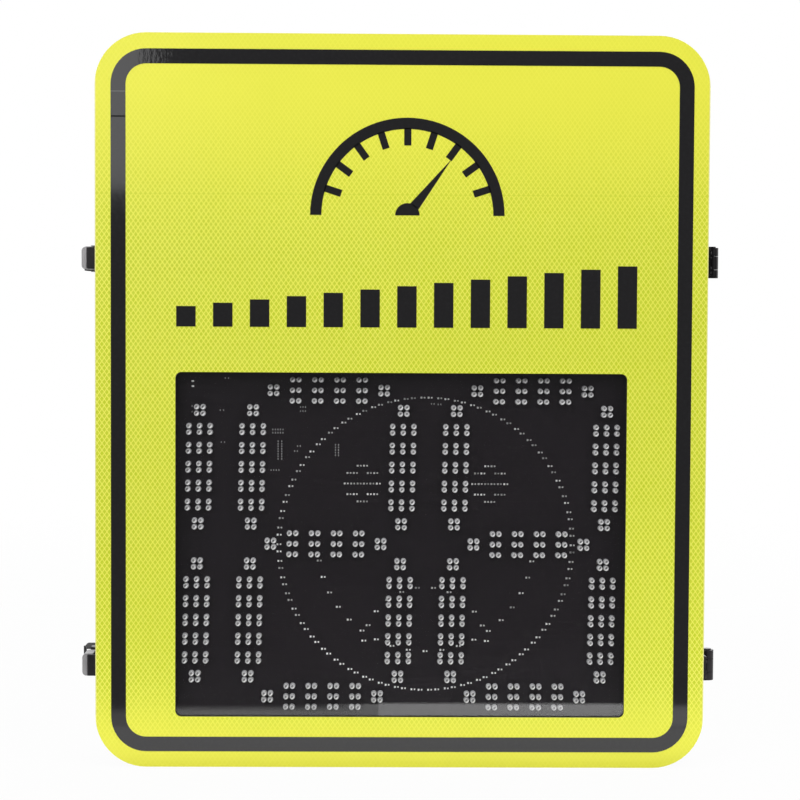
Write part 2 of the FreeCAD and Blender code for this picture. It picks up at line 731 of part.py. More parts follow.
for ahead, z in hinge_case_holes:
    case_wall = case_wall.cut(side_rod(1, ahead, z, hinge_screw_radius + fit_gap,
                                       -case_wall_thickness - 1, 1.0))


def bend_edges(form, radius):
    """Rounds the two outermost edges that run front to back on the left side."""
    left = form.BoundBox.XMin
    edges = [edge for edge in form.Edges if edge.BoundBox.XMax < left + 0.01 and edge.BoundBox.YLength > 1]
    return form.makeFillet(radius, edges)


# Draw latches on the left. The lever turns on two rivets, the loop turns in the lever
# and its front wall hooks the keeper's tab.
pivot_ahead = -seam_gap - latch_pivot_setback
pivot_reach = latch_pivot_height
crank_ahead = pivot_ahead - latch_crank
crank_reach = pivot_reach - latch_over_center
lever_outer = latch_width / 2
lever_inner = lever_outer - latch_sheet
ear_outer = lever_inner - latch_side_gap
ear_inner = ear_outer - latch_sheet
nose_ahead = pivot_ahead + latch_boss_radius
handle_start = crank_ahead - latch_handle_setback
handle_end = handle_start - latch_handle_length
lip_end = handle_end - latch_lip_run
keeper_end = door_frame_depth - keeper_margin
guard_back = keeper_end - keeper_guard_thickness
loop_front = guard_back - keeper_guard_gap
tab_front = loop_front - latch_sheet - loop_clearance
tab_back = tab_front - keeper_tab_thickness
tab_half = keeper_tab_width / 2
keeper_screw_ahead = (keeper_margin + tab_back) / 2
base_start = lip_end - 2.0
base_end = pivot_ahead + latch_boss_radius + 3.0
loop_rear = base_end + loop_rear_gap
loop_low = crank_reach - loop_pin_radius
loop_half = loop_width / 2
base_screw_ahead = (base_start + crank_ahead) / 2
pivots = []
base_screws = []
keeper_screws = []
for place, z in latch_places:
    # Base with two ears that carry the pivots
    base_parts = [side_block(-1, base_start, base_end, 0.0, latch_plate_thickness,
                             z - ear_outer, z + ear_outer)]
    for sign in (-1, 1):
        z0, z1 = sorted((z + sign * ear_inner, z + sign * ear_outer))
        base_parts.append(side_block(-1, pivot_ahead - latch_boss_radius, pivot_ahead + latch_boss_radius,
                                     0.0, pivot_reach, z0, z1))
        base_parts.append(upright_rod(-1, pivot_ahead, pivot_reach, latch_boss_radius, z0, z1))
    base = join(base_parts)
    base = base.cut(upright_rod(-1, pivot_ahead, pivot_reach, latch_pivot_radius + fit_gap / 2,
                                z - latch_width, z + latch_width))
    for sign in (-1, 1):
        level = z + sign * ear_inner * 0.5
        base = base.cut(side_rod(-1, base_screw_ahead, level, latch_screw_radius + fit_gap, -1.0, 4.0))
        case_wall = case_wall.cut(side_rod(-1, base_screw_ahead, level, latch_screw_radius + fit_gap,
                                           -case_wall_thickness - 1, 1.0))
        base_screws.append(side_screw(-1, base_screw_ahead, level, latch_plate_thickness, latch_screw_radius,
                                      latch_screw_length, latch_screw_head_radius, latch_screw_head_height))
    save(place + "_latch_base", base)

    # Lever: bent channel, open at the front so that its two arms reach the pivots, with a lip for the fingers
    arm_low = pivot_reach - latch_boss_radius
    side_view = side_plate(-1, [(pivot_ahead, arm_low), (nose_ahead, pivot_reach),
                                (nose_ahead, latch_nose_height), (handle_start, latch_handle_height),
                                (handle_end, latch_handle_height),
                                (handle_end, arm_low + 3.0), (handle_end + 3.0, arm_low)],
                           z - lever_outer, z + lever_outer)
    outer_form = side_block(-1, handle_end, nose_ahead, 0.0, latch_handle_height,
                            z - lever_outer, z + lever_outer)
    inner_form = side_block(-1, handle_end - 1, nose_ahead + 1, -1.0, latch_handle_height - latch_sheet,
                            z - lever_inner, z + lever_inner)
    outer_form = bend_edges(outer_form, latch_handle_bend)
    inner_form = bend_edges(inner_form, latch_handle_bend - latch_sheet)
    throat = side_block(-1, handle_start, nose_ahead + 1, -1.0, latch_handle_height + 1,
                        z - lever_inner, z + lever_inner)
    lever_parts = [outer_form.cut(inner_form).common(side_view).cut(throat)]
    for sign in (-1, 1):
        z0, z1 = sorted((z + sign * lever_inner, z + sign * lever_outer))
        lever_parts.append(upright_rod(-1, pivot_ahead, pivot_reach, latch_boss_radius, z0, z1))
        pivot = upright_rod(-1, pivot_ahead, pivot_reach, latch_pivot_radius, z + sign * ear_inner,
                            z + sign * (lever_outer + loop_clearance))
        head = upright_rod(-1, pivot_ahead, pivot_reach, latch_boss_radius * 0.8,
                           z + sign * (lever_outer + loop_clearance),
                           z + sign * (lever_outer + loop_clearance + latch_rivet_head_height))
        pivots.append(join([pivot, head]))
    low_skin = latch_handle_height - latch_sheet
    lip_rise = latch_lip_height - latch_handle_height
    lip = [(handle_end, low_skin), (handle_end, latch_handle_height),
           (handle_end - 0.5 * latch_lip_run, latch_handle_height + 0.3 * lip_rise),
           (lip_end + 0.5 * latch_sheet, latch_lip_height),
           (lip_end - 0.5 * latch_sheet, latch_lip_height - 0.4),
           (handle_end - 0.6 * latch_lip_run, low_skin + 0.3 * lip_rise)]
    lip_half = lever_outer - latch_handle_bend
    lever_parts.append(side_plate(-1, lip, z - lip_half, z + lip_half))
    lever = join(lever_parts)
    lever = lever.cut(upright_rod(-1, pivot_ahead, pivot_reach, latch_pivot_radius + fit_gap,
                                  z - latch_width, z + latch_width))
    lever = lever.cut(upright_rod(-1, crank_ahead, crank_reach, loop_pin_radius + fit_gap,
                                  z - latch_width, z + latch_width))
    save(place + "_latch_lever", lever)

    # Loop: stamped box, open towards the wall, on two arms whose pin turns in the lever
    shell = bend_edges(side_block(-1, loop_rear, loop_front, loop_low, loop_height,
                                  z - loop_half, z + loop_half), loop_bend)
    hollow = bend_edges(side_block(-1, loop_rear + latch_sheet, loop_front - latch_sheet,
                                   loop_low - 1, loop_height - latch_sheet,
                                   z - loop_half + latch_sheet, z + loop_half - latch_sheet),
                        loop_bend - latch_sheet)
    pin_half = lever_outer - fit_gap
    loop_parts = [shell.cut(hollow),
                  upright_rod(-1, crank_ahead, crank_reach, loop_pin_radius, z - pin_half, z + pin_half)]
    for sign in (-1, 1):
        arm_mid = z + sign * loop_arm_spacing / 2
        z0 = arm_mid - loop_arm_thickness / 2
        z1 = arm_mid + loop_arm_thickness / 2
        eye_radius = loop_arm_depth / 2
        loop_parts.append(upright_rod(-1, crank_ahead, crank_reach, eye_radius, z0, z1))
        loop_parts.append(side_plate(-1, [(crank_ahead, crank_reach - eye_radius),
                                          (loop_rear + latch_sheet / 2, loop_low),
                                          (loop_rear + latch_sheet / 2, crank_reach + eye_radius),
                                          (crank_ahead, crank_reach + eye_radius)], z0, z1))
    save(place + "_latch_loop", join(loop_parts))

    # Keeper on the door: a straight tab behind the loop's front wall and a guard ahead of it
    guard = side_block(-1, guard_back, keeper_end, 0.0, keeper_guard_height, z - ear_outer, z + ear_outer)
    guard_edges = [edge for edge in guard.Edges if edge.BoundBox.XMax < -half_width - 0.01]
    guard_edges = [edge for edge in guard_edges if edge.BoundBox.YMin > door_rear_y - keeper_end - 0.01]
    front_edges = [edge for edge in guard_edges if edge.BoundBox.YMax < door_rear_y - keeper_end + 0.01]
    guard = guard.makeChamfer(keeper_guard_bevel, front_edges)
    keeper = join([
        side_block(-1, keeper_margin, guard_back, 0.0, latch_plate_thickness, z - ear_outer, z + ear_outer),
        side_block(-1, tab_back, tab_front, 0.0, crank_reach + keeper_tab_rise, z - tab_half, z + tab_half),
        guard])
    for sign in (-1, 1):
        level = z + sign * ear_inner * 0.55
        hole_radius = latch_screw_radius + fit_gap
        keeper = keeper.cut(side_rod(-1, keeper_screw_ahead, level, hole_radius, -1.0, 4.0))
        door_frame = door_frame.cut(side_rod(-1, keeper_screw_ahead, level, hole_radius, -door_wall - 1, 1.0))
        keeper_screws.append(side_screw(-1, keeper_screw_ahead, level, latch_plate_thickness,
                                        latch_screw_radius, latch_screw_length, latch_screw_head_radius,
                                        latch_screw_head_height))
    save(place + "_latch_keeper", keeper)
save("latch_pivots", solids(pivots))
save("latch_base_screws", solids(base_screws))
save("keeper_screws", solids(keeper_screws))
save("door_frame", door_frame)
save("case_wall", case_wall)
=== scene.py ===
import math

import bmesh
import bpy
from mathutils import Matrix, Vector


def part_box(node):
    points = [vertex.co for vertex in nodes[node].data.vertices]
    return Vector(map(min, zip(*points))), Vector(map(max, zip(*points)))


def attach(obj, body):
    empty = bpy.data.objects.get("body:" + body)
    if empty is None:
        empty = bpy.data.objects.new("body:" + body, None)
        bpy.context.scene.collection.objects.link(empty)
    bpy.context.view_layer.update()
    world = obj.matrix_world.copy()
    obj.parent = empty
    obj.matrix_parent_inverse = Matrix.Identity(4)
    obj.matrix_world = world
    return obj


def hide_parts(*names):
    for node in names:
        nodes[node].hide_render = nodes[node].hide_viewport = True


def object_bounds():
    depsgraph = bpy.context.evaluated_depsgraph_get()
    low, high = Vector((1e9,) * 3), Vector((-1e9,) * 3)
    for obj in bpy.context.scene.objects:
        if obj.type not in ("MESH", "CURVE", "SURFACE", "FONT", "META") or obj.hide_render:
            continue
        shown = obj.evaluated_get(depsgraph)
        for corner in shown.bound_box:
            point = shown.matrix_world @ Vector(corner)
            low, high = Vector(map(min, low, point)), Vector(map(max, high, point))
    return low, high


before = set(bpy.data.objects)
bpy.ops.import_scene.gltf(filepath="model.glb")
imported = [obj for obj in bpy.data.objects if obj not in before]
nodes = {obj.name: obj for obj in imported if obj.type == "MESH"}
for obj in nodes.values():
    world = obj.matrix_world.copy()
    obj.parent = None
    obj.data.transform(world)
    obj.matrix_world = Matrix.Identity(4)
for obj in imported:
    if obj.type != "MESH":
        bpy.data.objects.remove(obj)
cadBox = [list(corner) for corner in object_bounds()]
mm = 0.001
noiseSpan = (0.3, 0.7)  # most values of a noise lie between these
black = (0.0, 0.0, 0.0)
print("frame loaded,", len(nodes), "nodes")


# small helpers for node trees, shader and geometry alike
def put(tree, kind, sockets=None, **settings):
    node = tree.nodes.new(kind)
    for key, value in settings.items():
        setattr(node, key, value)
    for key, value in (sockets or {}).items():
        if isinstance(value, bpy.types.NodeSocket):
            tree.links.new(value, node.inputs[key])
        else:
            node.inputs[key].default_value = value
    return node


def maths(tree, operation, first, second=0.0, third=0.0):
    node = put(tree, "ShaderNodeMath", {0: first, 1: second, 2: third}, operation=operation)
    return node.outputs[0]


def times(tree, first, second):
    return maths(tree, "MULTIPLY", first, second)


def near(tree, value, middle, half):
    return maths(tree, "COMPARE", value, middle, half)


def mapped(tree, value, lowIn, highIn, lowOut=0.0, highOut=1.0):
    inputs = {"Value": value, "From Min": lowIn, "From Max": highIn, "To Min": lowOut, "To Max": highOut}
    return put(tree, "ShaderNodeMapRange", inputs, interpolation_type="SMOOTHSTEP").outputs["Result"]


def mappedMm(tree, value, lowIn, highIn, lowOut=0.0, highOut=1.0):
    return mapped(tree, value, lowIn * mm, highIn * mm, lowOut, highOut)


def mixed(tree, share, first, second):
    def full(colour):
        return colour if isinstance(colour, bpy.types.NodeSocket) else (*colour, 1.0)
    sockets = {0: share, 6: full(first), 7: full(second)}  # the mix node's factor and colours by place
    return put(tree, "ShaderNodeMix", sockets, data_type="RGBA").outputs[2]


def axes(tree, place):
    return put(tree, "ShaderNodeSeparateXYZ", {"Vector": place}).outputs


def vectorOf(tree, x=0.0, y=0.0, z=0.0):
    return put(tree, "ShaderNodeCombineXYZ", {0: x, 1: y, 2: z}).outputs[0]


# helpers for finishes
def startFinish(name):
    finish = bpy.data.materials.new(name)
    finish.use_nodes = True
    tree = finish.node_tree
    tree.nodes.clear()
    shader = put(tree, "ShaderNodeBsdfPrincipled")
    put(tree, "ShaderNodeOutputMaterial", {"Surface": shader.outputs["BSDF"]})
    return finish, tree, shader


def surfaceFrom(tree, shader):
    tree.links.new(shader.outputs["Shader"], tree.nodes["Material Output"].inputs["Surface"])


def link(tree, socket, shader, name):
    tree.links.new(socket, shader.inputs[name])


def objectPlace(tree):
    return put(tree, "ShaderNodeTexCoord").outputs["Object"]


def attributeOf(tree, name):
    return put(tree, "ShaderNodeAttribute", attribute_name=name).outputs["Fac"]


def noiseOn(tree, place, scale, detail=3.0, stretch=(1, 1, 1)):
    spread = put(tree, "ShaderNodeMapping", {"Vector": place, "Scale": stretch}).outputs["Vector"]
    return put(tree, "ShaderNodeTexNoise", {"Vector": spread, "Scale": scale, "Detail": detail}).outputs[0]


def roughBy(tree, shader, noise, rough, least, most):
    link(tree, mapped(tree, noise, *noiseSpan, rough * least, rough * most), shader, "Roughness")


def raised(tree, shader, height, depth, strength=1.0):
    bump = put(tree, "ShaderNodeBump", {"Height": height, "Distance": depth * mm, "Strength": strength})
    tree.links.new(bump.outputs["Normal"], shader.inputs["Normal"])


# plain metal, paint, rubber and plastic: broad colour drift, fine grain, grain in the gloss
plainLooks = {
    "coated_aluminium": {"colour": (0.50, 0.51, 0.52), "drift": 0.04, "rough": 0.42, "metal": 0.0,
                         "grain": 900, "depth": 0.05, "stretch": (1, 1, 1)},
    "bare_aluminium": {"colour": (0.70, 0.69, 0.66), "drift": 0.05, "rough": 0.36, "metal": 1.0,
                       "grain": 260, "depth": 0.012, "stretch": (0.06, 1, 1)},
    "black_rubber": {"colour": (0.02, 0.02, 0.02), "drift": 0.25, "rough": 0.78, "metal": 0.0,
                     "grain": 1400, "depth": 0.05, "stretch": (1, 1, 1)},
    "black_plastic": {"colour": (0.020, 0.020, 0.021), "drift": 0.2, "rough": 0.46, "metal": 0.0,
                      "grain": 1600, "depth": 0.03, "stretch": (1, 1, 1)},
    "zinc_plate": {"colour": (0.62, 0.62, 0.60), "drift": 0.16, "rough": 0.32, "metal": 1.0,
                   "grain": 700, "depth": 0.01, "stretch": (1, 1, 1)},
    "grey_plastic": {"colour": (0.33, 0.34, 0.34), "drift": 0.06, "rough": 0.5, "metal": 0.0,
                     "grain": 1500, "depth": 0.03, "stretch": (1, 1, 1)},
    "white_plastic": {"colour": (0.74, 0.74, 0.71), "drift": 0.04, "rough": 0.42, "metal": 0.0,
                      "grain": 1500, "depth": 0.02, "stretch": (1, 1, 1)},
    "black_steel": {"colour": (0.052, 0.049, 0.052), "drift": 0.2, "rough": 0.38, "metal": 1.0,
                    "grain": 1100, "depth": 0.03, "stretch": (1, 1, 1)},
    "steel": {"colour": (0.46, 0.45, 0.46), "drift": 0.10, "rough": 0.36, "metal": 0.5,
              "grain": 500, "depth": 0.01, "stretch": (1, 1, 0.05)},
    "lever": {"colour": (0.035, 0.034, 0.035), "drift": 0.10, "rough": 0.6, "metal": 0.0, "gloss": 0.12,
              "grain": 500, "depth": 0.01, "stretch": (1, 1, 0.05)},
}
cloudLook = {"scale": 14.0, "detail": 4.0, "share": 0.65, "roughLeast": 0.9, "roughMost": 1.1, "gloss": 0.5}


def plainFinish(name, look):
    finish, tree, shader = startFinish(name)
    place = objectPlace(tree)
    grain = noiseOn(tree, place, look["grain"], stretch=look["stretch"])
    cloud = noiseOn(tree, place, cloudLook["scale"], cloudLook["detail"])
    share = cloudLook["share"]
    both = maths(tree, "ADD", times(tree, grain, 1 - share), times(tree, cloud, share))
    darker = [part * (1 - look["drift"]) for part in look["colour"]]
    lighter = [part * (1 + look["drift"]) for part in look["colour"]]
    link(tree, mixed(tree, mapped(tree, both, *noiseSpan), darker, lighter), shader, "Base Color")
    roughBy(tree, shader, both, look["rough"], cloudLook["roughLeast"], cloudLook["roughMost"])
    shader.inputs["Metallic"].default_value = look["metal"]
    shader.inputs["Specular IOR Level"].default_value = look.get("gloss", cloudLook["gloss"])
    raised(tree, shader, grain, look["depth"])
    return finish


finishes = {name: plainFinish(name + "Finish", look) for name, look in plainLooks.items()}


# fluorescent sheet: a net of light lines round darker rhombic cells, with a painted sheen that pales it at
# top and foot, paler side edges and one faint join across; a sheen span is low and high in mm and its shares
# there
sheetLook = {"netWidth": 4.73, "netHeight": 6.7, "line": (0.89, 0.905, 0.13), "cell": (0.57, 0.655, 0.003),
             "lineEdge": 0.03, "cellEdge": 0.20, "unevenScale": 420.0, "unevenSpan": (0.25, 0.75),
             "uneven": 0.75, "faded": (0.87, 0.855, 0.06), "sheenTop": (130.0, 320.0, 0.0, 0.88),
             "sheenFoot": (-352.0, -265.0, 0.9, 0.0), "patchScale": 5.0, "patchSpan": (0.35, 0.7),
             "patch": 0.12, "edge": (0.88, 0.82, 0.42), "edgeReach": (298.6, 299.6), "edgeShare": 0.6,
             "joinHeight": 203.9, "joinHalf": 0.35, "joinShare": 0.35,
             "rough": 0.34, "roughLeast": 0.85, "roughMost": 1.15, "depth": 0.03, "strength": 0.5}


def sheetFinish(look):
    finish, tree, shader = startFinish("reflectiveSheetFinish")
    place = objectPlace(tree)
    x, y, z = axes(tree, place)
    across = maths(tree, "DIVIDE", x, look["netWidth"] * mm)
    upward = maths(tree, "DIVIDE", z, look["netHeight"] * mm)
    rising = maths(tree, "PINGPONG", maths(tree, "ADD", across, upward), 0.5)
    falling = maths(tree, "PINGPONG", maths(tree, "SUBTRACT", across, upward), 0.5)
    inner = maths(tree, "MINIMUM", rising, falling)
    uneven = noiseOn(tree, place, look["unevenScale"], 2.0)
    spread = times(tree, mapped(tree, inner, look["lineEdge"], look["cellEdge"]),
                   mapped(tree, uneven, *look["unevenSpan"], look["uneven"], 1.0))
    colour = mixed(tree, spread, look["line"], look["cell"])
    # painted sheen: towards top and foot the net pales to the faded colour, as where the lamps glare on the
    # sheet
    paintedSheens = [mappedMm(tree, z, *look[end]) for end in ("sheenTop", "sheenFoot")]
    colour = mixed(tree, maths(tree, "MAXIMUM", *paintedSheens), colour, look["faded"])
    patch = mapped(tree, noiseOn(tree, place, look["patchScale"]), *look["patchSpan"], 0.0, look["patch"])
    colour = mixed(tree, patch, colour, look["cell"])
    side = mappedMm(tree, maths(tree, "ABSOLUTE", x), *look["edgeReach"], 0.0, look["edgeShare"])
    colour = mixed(tree, side, colour, look["edge"])
    join = near(tree, z, look["joinHeight"] * mm, look["joinHalf"] * mm)
    colour = mixed(tree, times(tree, join, look["joinShare"]), colour, look["cell"])
    link(tree, colour, shader, "Base Color")
    smooth, coarse = look["rough"] * look["roughLeast"], look["rough"] * look["roughMost"]
    link(tree, mapped(tree, inner, 0.0, 0.3, smooth, coarse), shader, "Roughness")
    raised(tree, shader, inner, look["depth"], look["strength"])
    return finish


finishes["yellow_sheet"] = sheetFinish(sheetLook)


# gloss film: slow waves, short wrinkles at the upper left corner, two laps in the left run
filmLook = {"colour": (0.0165, 0.0160, 0.0172), "dust": (0.03, 0.03, 0.032), "dustScale": 300.0,
            "dustSpan": (0.4, 0.8), "dustShare": 0.25, "rough": 0.07, "roughLeast": 0.7, "roughMost": 1.3,
            "gloss": 0.5, "lapX": -262.0, "lapHalf": 0.6, "paleLap": 303.0, "pale": (0.07, 0.07, 0.07),
            "darkLap": 278.8, "dark": (0.002, 0.002, 0.002), "darkRough": 0.8,
            "wrinkleX": -240.0, "wrinkleZ": 337.5, "wrinkleReach": 26.0, "wrinkleScale": 330.0,
            "wrinkleStretch": (1, 1, 0.45), "wrinkle": 0.4, "waveScale": 11.0, "depth": 0.5, "strength": 0.25}


def filmFinish(look):
    finish, tree, shader = startFinish("glossFilmFinish")
    place = objectPlace(tree)
    x, y, z = axes(tree, place)
    wave = noiseOn(tree, place, look["waveScale"], 2.0)
    fine = noiseOn(tree, place, look["dustScale"])
    leftRun = maths(tree, "LESS_THAN", x, look["lapX"] * mm)
    paleLap, darkLap = [times(tree, near(tree, z, look[lap] * mm, look["lapHalf"] * mm), leftRun)
                        for lap in ("paleLap", "darkLap")]
    dust = mapped(tree, fine, *look["dustSpan"], 0.0, look["dustShare"])
    colour = mixed(tree, dust, look["colour"], look["dust"])
    colour = mixed(tree, paleLap, colour, look["pale"])
    colour = mixed(tree, darkLap, colour, look["dark"])
    link(tree, colour, shader, "Base Color")
    smooth, coarse = look["rough"] * look["roughLeast"], look["rough"] * look["roughMost"]
    rough = mapped(tree, fine, *noiseSpan, smooth, coarse)
    link(tree, maths(tree, "ADD", rough, times(tree, darkLap, look["darkRough"])), shader, "Roughness")
    gloss = times(tree, maths(tree, "SUBTRACT", 1.0, darkLap), look["gloss"])
    link(tree, gloss, shader, "Specular IOR Level")
    besideX, besideZ = [maths(tree, "ABSOLUTE", maths(tree, "SUBTRACT", axis, look[middle] * mm))
                        for axis, middle in ((x, "wrinkleX"), (z, "wrinkleZ"))]
    apart = maths(tree, "MAXIMUM", besideX, times(tree, besideZ, 2.0))
    corner = mappedMm(tree, apart, 0.5 * look["wrinkleReach"], look["wrinkleReach"], look["wrinkle"], 0.0)
    creases = noiseOn(tree, place, look["wrinkleScale"], stretch=look["wrinkleStretch"])
    height = maths(tree, "ADD", wave, times(tree, creases, corner))
    raised(tree, shader, height, look["depth"], look["strength"])
    return finish


finishes["black_film"] = filmFinish(filmLook)


# clear pane that lets the lamps through
paneLook = {"tint": (0.975, 0.975, 0.98), "rough": 0.015, "bend": 1.585, "waves": 4.0, "depth": 0.12}


def paneFinish(look):
    finish, tree, shader = startFinish("clearPaneFinish")
    shader.inputs["Base Color"].default_value = (*look["tint"], 1.0)
    shader.inputs["Roughness"].default_value = look["rough"]
    shader.inputs["IOR"].default_value = look["bend"]
    shader.inputs["Transmission Weight"].default_value = 1.0
    raised(tree, shader, noiseOn(tree, objectPlace(tree), look["waves"], 2.0), look["depth"])
    through = put(tree, "ShaderNodeBsdfTransparent", {"Color": (*look["tint"], 1.0)})
    rays = put(tree, "ShaderNodeLightPath")
    lit = maths(tree, "MAXIMUM", rays.outputs["Is Shadow Ray"], rays.outputs["Is Diffuse Ray"])
    either = {0: lit, 1: shader.outputs["BSDF"], 2: through.outputs["BSDF"]}
    surfaceFrom(tree, put(tree, "ShaderNodeMixShader", either))
    return finish


finishes["clear_pane"] = paneFinish(paneLook)


# boards: solder mask over fine tracks, with bare pads; track and pad sizes are shares of the pitch
boardLooks = {
    "black_board": {"mask": (0.0112, 0.0084, 0.0112), "track": (0.0127, 0.0098, 0.0127),
                    "pad": (0.016, 0.015, 0.016), "rough": 0.36, "pitch": 7.0, "gloss": 0.2},
    "green_board": {"mask": (0.010, 0.115, 0.040), "track": (0.018, 0.19, 0.062),
                    "pad": (0.62, 0.50, 0.22), "rough": 0.32, "pitch": 4.0, "gloss": 0.5},
}
trackLook = {"wide": 0.09, "soft": 0.1, "long": 5, "shift": 0.37, "squash": 0.6,
             "padsPerPitch": 0.45, "padEdge": (0.10, 0.13), "padShare": 0.8, "grain": 1200.0,
             "grainShare": 0.2, "roughLeast": 0.85, "roughMost": 1.15, "depth": 0.03, "strength": 0.6}


def boardFinish(name, look):
    finish, tree, shader = startFinish(name)
    place = objectPlace(tree)
    pitch = look["pitch"] * mm
    upright = put(tree, "ShaderNodeMapping", {"Vector": place, "Rotation": (math.pi / 2, 0, 0)})
    turned = upright.outputs["Vector"]
    sockets = {"Vector": turned, "Scale": 1.0, "Row Height": pitch, "Brick Width": trackLook["long"] * pitch,
               "Mortar Size": trackLook["wide"] * pitch, "Mortar Smooth": trackLook["soft"]}
    rows = put(tree, "ShaderNodeTexBrick", sockets, offset=trackLook["shift"], squash=trackLook["squash"])
    tracks = rows.outputs["Fac"]
    cells = put(tree, "ShaderNodeTexVoronoi", {"Vector": turned, "Scale": trackLook["padsPerPitch"] / pitch})
    pads = mapped(tree, cells.outputs["Distance"], *trackLook["padEdge"], 1.0, 0.0)
    grain = noiseOn(tree, place, trackLook["grain"], 2.0)
    colour = mixed(tree, tracks, look["mask"], look["track"])
    colour = mixed(tree, times(tree, pads, trackLook["padShare"]), colour, look["pad"])
    link(tree, colour, shader, "Base Color")
    roughBy(tree, shader, grain, look["rough"], trackLook["roughLeast"], trackLook["roughMost"])
    shader.inputs["Specular IOR Level"].default_value = look["gloss"]
    height = maths(tree, "ADD", tracks, times(tree, grain, trackLook["grainShare"]))
    raised(tree, shader, height, trackLook["depth"], trackLook["strength"])
    return finish


for slotName, boardLook in boardLooks.items():
    finishes[slotName] = boardFinish(slotName + "Finish", boardLook)


# power supply cover: brushed sheet with rows of punched vents in its middle, the vents painted dark as the
# shade inside them
supplyLook = {"colour": (0.62, 0.63, 0.64), "shade": 0.88, "hole": (0.015, 0.015, 0.016), "pitch": 5.0,
              "holeRadius": 1.6, "margin": 12.0, "frontSkin": 0.5, "brush": 320.0,
              "brushStretch": (0.05, 1, 1), "rough": 0.34, "roughLeast": 0.85, "roughMost": 1.2,
              "holeDepth": 8.0, "depth": 0.03}


def supplyFinish(look):
    finish, tree, shader = startFinish("ventedCoverFinish")
    place = objectPlace(tree)
    x, y, z = axes(tree, place)
    low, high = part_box("power_supply")
    middle, half = (low + high) / 2, (high - low) / 2
    halfPitch = look["pitch"] * mm / 2
    distances, inside = [], []
    for axis, centre, reach in ((x, middle.x, half.x), (z, middle.z, half.z)):
        offset = maths(tree, "SUBTRACT", axis, centre)
        cell = maths(tree, "SUBTRACT", maths(tree, "PINGPONG", offset, halfPitch), halfPitch)
        distances.append(maths(tree, "POWER", cell, 2.0))
        inside.append(maths(tree, "LESS_THAN", maths(tree, "ABSOLUTE", offset), reach - look["margin"] * mm))
    apart = maths(tree, "SQRT", maths(tree, "ADD", *distances))
    hole = times(tree, maths(tree, "LESS_THAN", apart, look["holeRadius"] * mm), times(tree, *inside))
    hole = times(tree, hole, maths(tree, "LESS_THAN", y, low.y + look["frontSkin"] * mm))
    brush = noiseOn(tree, place, look["brush"], stretch=look["brushStretch"])
    darker = [part * look["shade"] for part in look["colour"]]
    colour = mixed(tree, mapped(tree, brush, *noiseSpan), darker, look["colour"])
    # painted shade: the vents take the dark hole colour, as the shade inside them
    link(tree, mixed(tree, hole, colour, look["hole"]), shader, "Base Color")
    link(tree, maths(tree, "SUBTRACT", 1.0, hole), shader, "Metallic")
    roughBy(tree, shader, brush, look["rough"], look["roughLeast"], look["roughMost"])
    raised(tree, shader, maths(tree, "SUBTRACT", brush, times(tree, hole, look["holeDepth"])), look["depth"])
    return finish


finishes["supply_case"] = supplyFinish(supplyLook)


# lens of a round LED: pale resin with the die cup and its slanted gap seen through the dome, a painted
# highlight on one side of the cup, painted shade in the rows close under the opening's upper edge; edges and
# reaches are shares of the lens radius
lensLook = {"rim": (0.40, 0.40, 0.41), "rimReach": (0.80, 0.98), "cup": (0.70, 0.70, 0.70),
            "core": (0.23, 0.23, 0.23), "coreReach": (0.34, 0.56), "gap": (0.09, 0.09, 0.09),
            "gapEdge": (0.08, 0.24), "gapReach": (0.46, 0.64), "bright": (1.0, 1.0, 1.0),
            "highlightEdge": (0.26, 0.46), "highlightReach": (0.74, 0.88), "highlightChance": (0.25, 0.6, 0.35, 1.0),
            "chanceScale": 90.0, "paintedShadeHeights": (4.0, 24.0), "paintedShadeShare": 0.6, "rough": 0.12, "bend": 1.52}


def lensFinish(look):
    finish, tree, shader = startFinish("clearLensFinish")
    reach, slant, core = [attributeOf(tree, name) for name in ("lensReach", "lensSlant", "lensCore")]
    place = objectPlace(tree)
    chance = noiseOn(tree, place, look["chanceScale"], 1.0)
    colour = mixed(tree, mapped(tree, core, *look["coreReach"]), look["core"], look["cup"])
    gap = times(tree, mapped(tree, maths(tree, "ABSOLUTE", slant), *look["gapEdge"], 1.0, 0.0),
                mapped(tree, core, *look["gapReach"], 1.0, 0.0))
    colour = mixed(tree, times(tree, gap, mapped(tree, chance, *noiseSpan)), colour, look["gap"])
    # painted highlight: one side of the cup turns bright, as the lamps reflect in it
    side = times(tree, mapped(tree, slant, *look["highlightEdge"]),
                 mapped(tree, reach, *look["highlightReach"], 1.0, 0.0))
    side = times(tree, side, mapped(tree, chance, *look["highlightChance"]))
    colour = mixed(tree, side, colour, look["bright"])
    colour = mixed(tree, mapped(tree, reach, *look["rimReach"]), colour, look["rim"])
    x, y, z = axes(tree, place)
    # painted shade: the rows under the opening's upper edge darken as if in its shadow
    paintedShade = mappedMm(tree, z, *look["paintedShadeHeights"], 1.0, look["paintedShadeShare"])
    link(tree, mixed(tree, paintedShade, black, colour), shader, "Base Color")
    shader.inputs["Roughness"].default_value = look["rough"]
    shader.inputs["IOR"].default_value = look["bend"]
    return finish


finishes["led_lens"] = lensFinish(lensLook)


# solder and the board's bare pads
brightLooks = {
    "solder": {"colour": (0.80, 0.80, 0.78), "rough": 0.3, "metal": 0.6},
    "faintPad": {"colour": (0.34, 0.34, 0.34), "rough": 0.4, "metal": 0.2},
    "brightPad": {"colour": (0.95, 0.95, 0.94), "rough": 0.4, "metal": 0.0},
}
brightGrain = {"scale": 900.0, "shade": 0.7, "roughLeast": 0.7, "roughMost": 1.4}


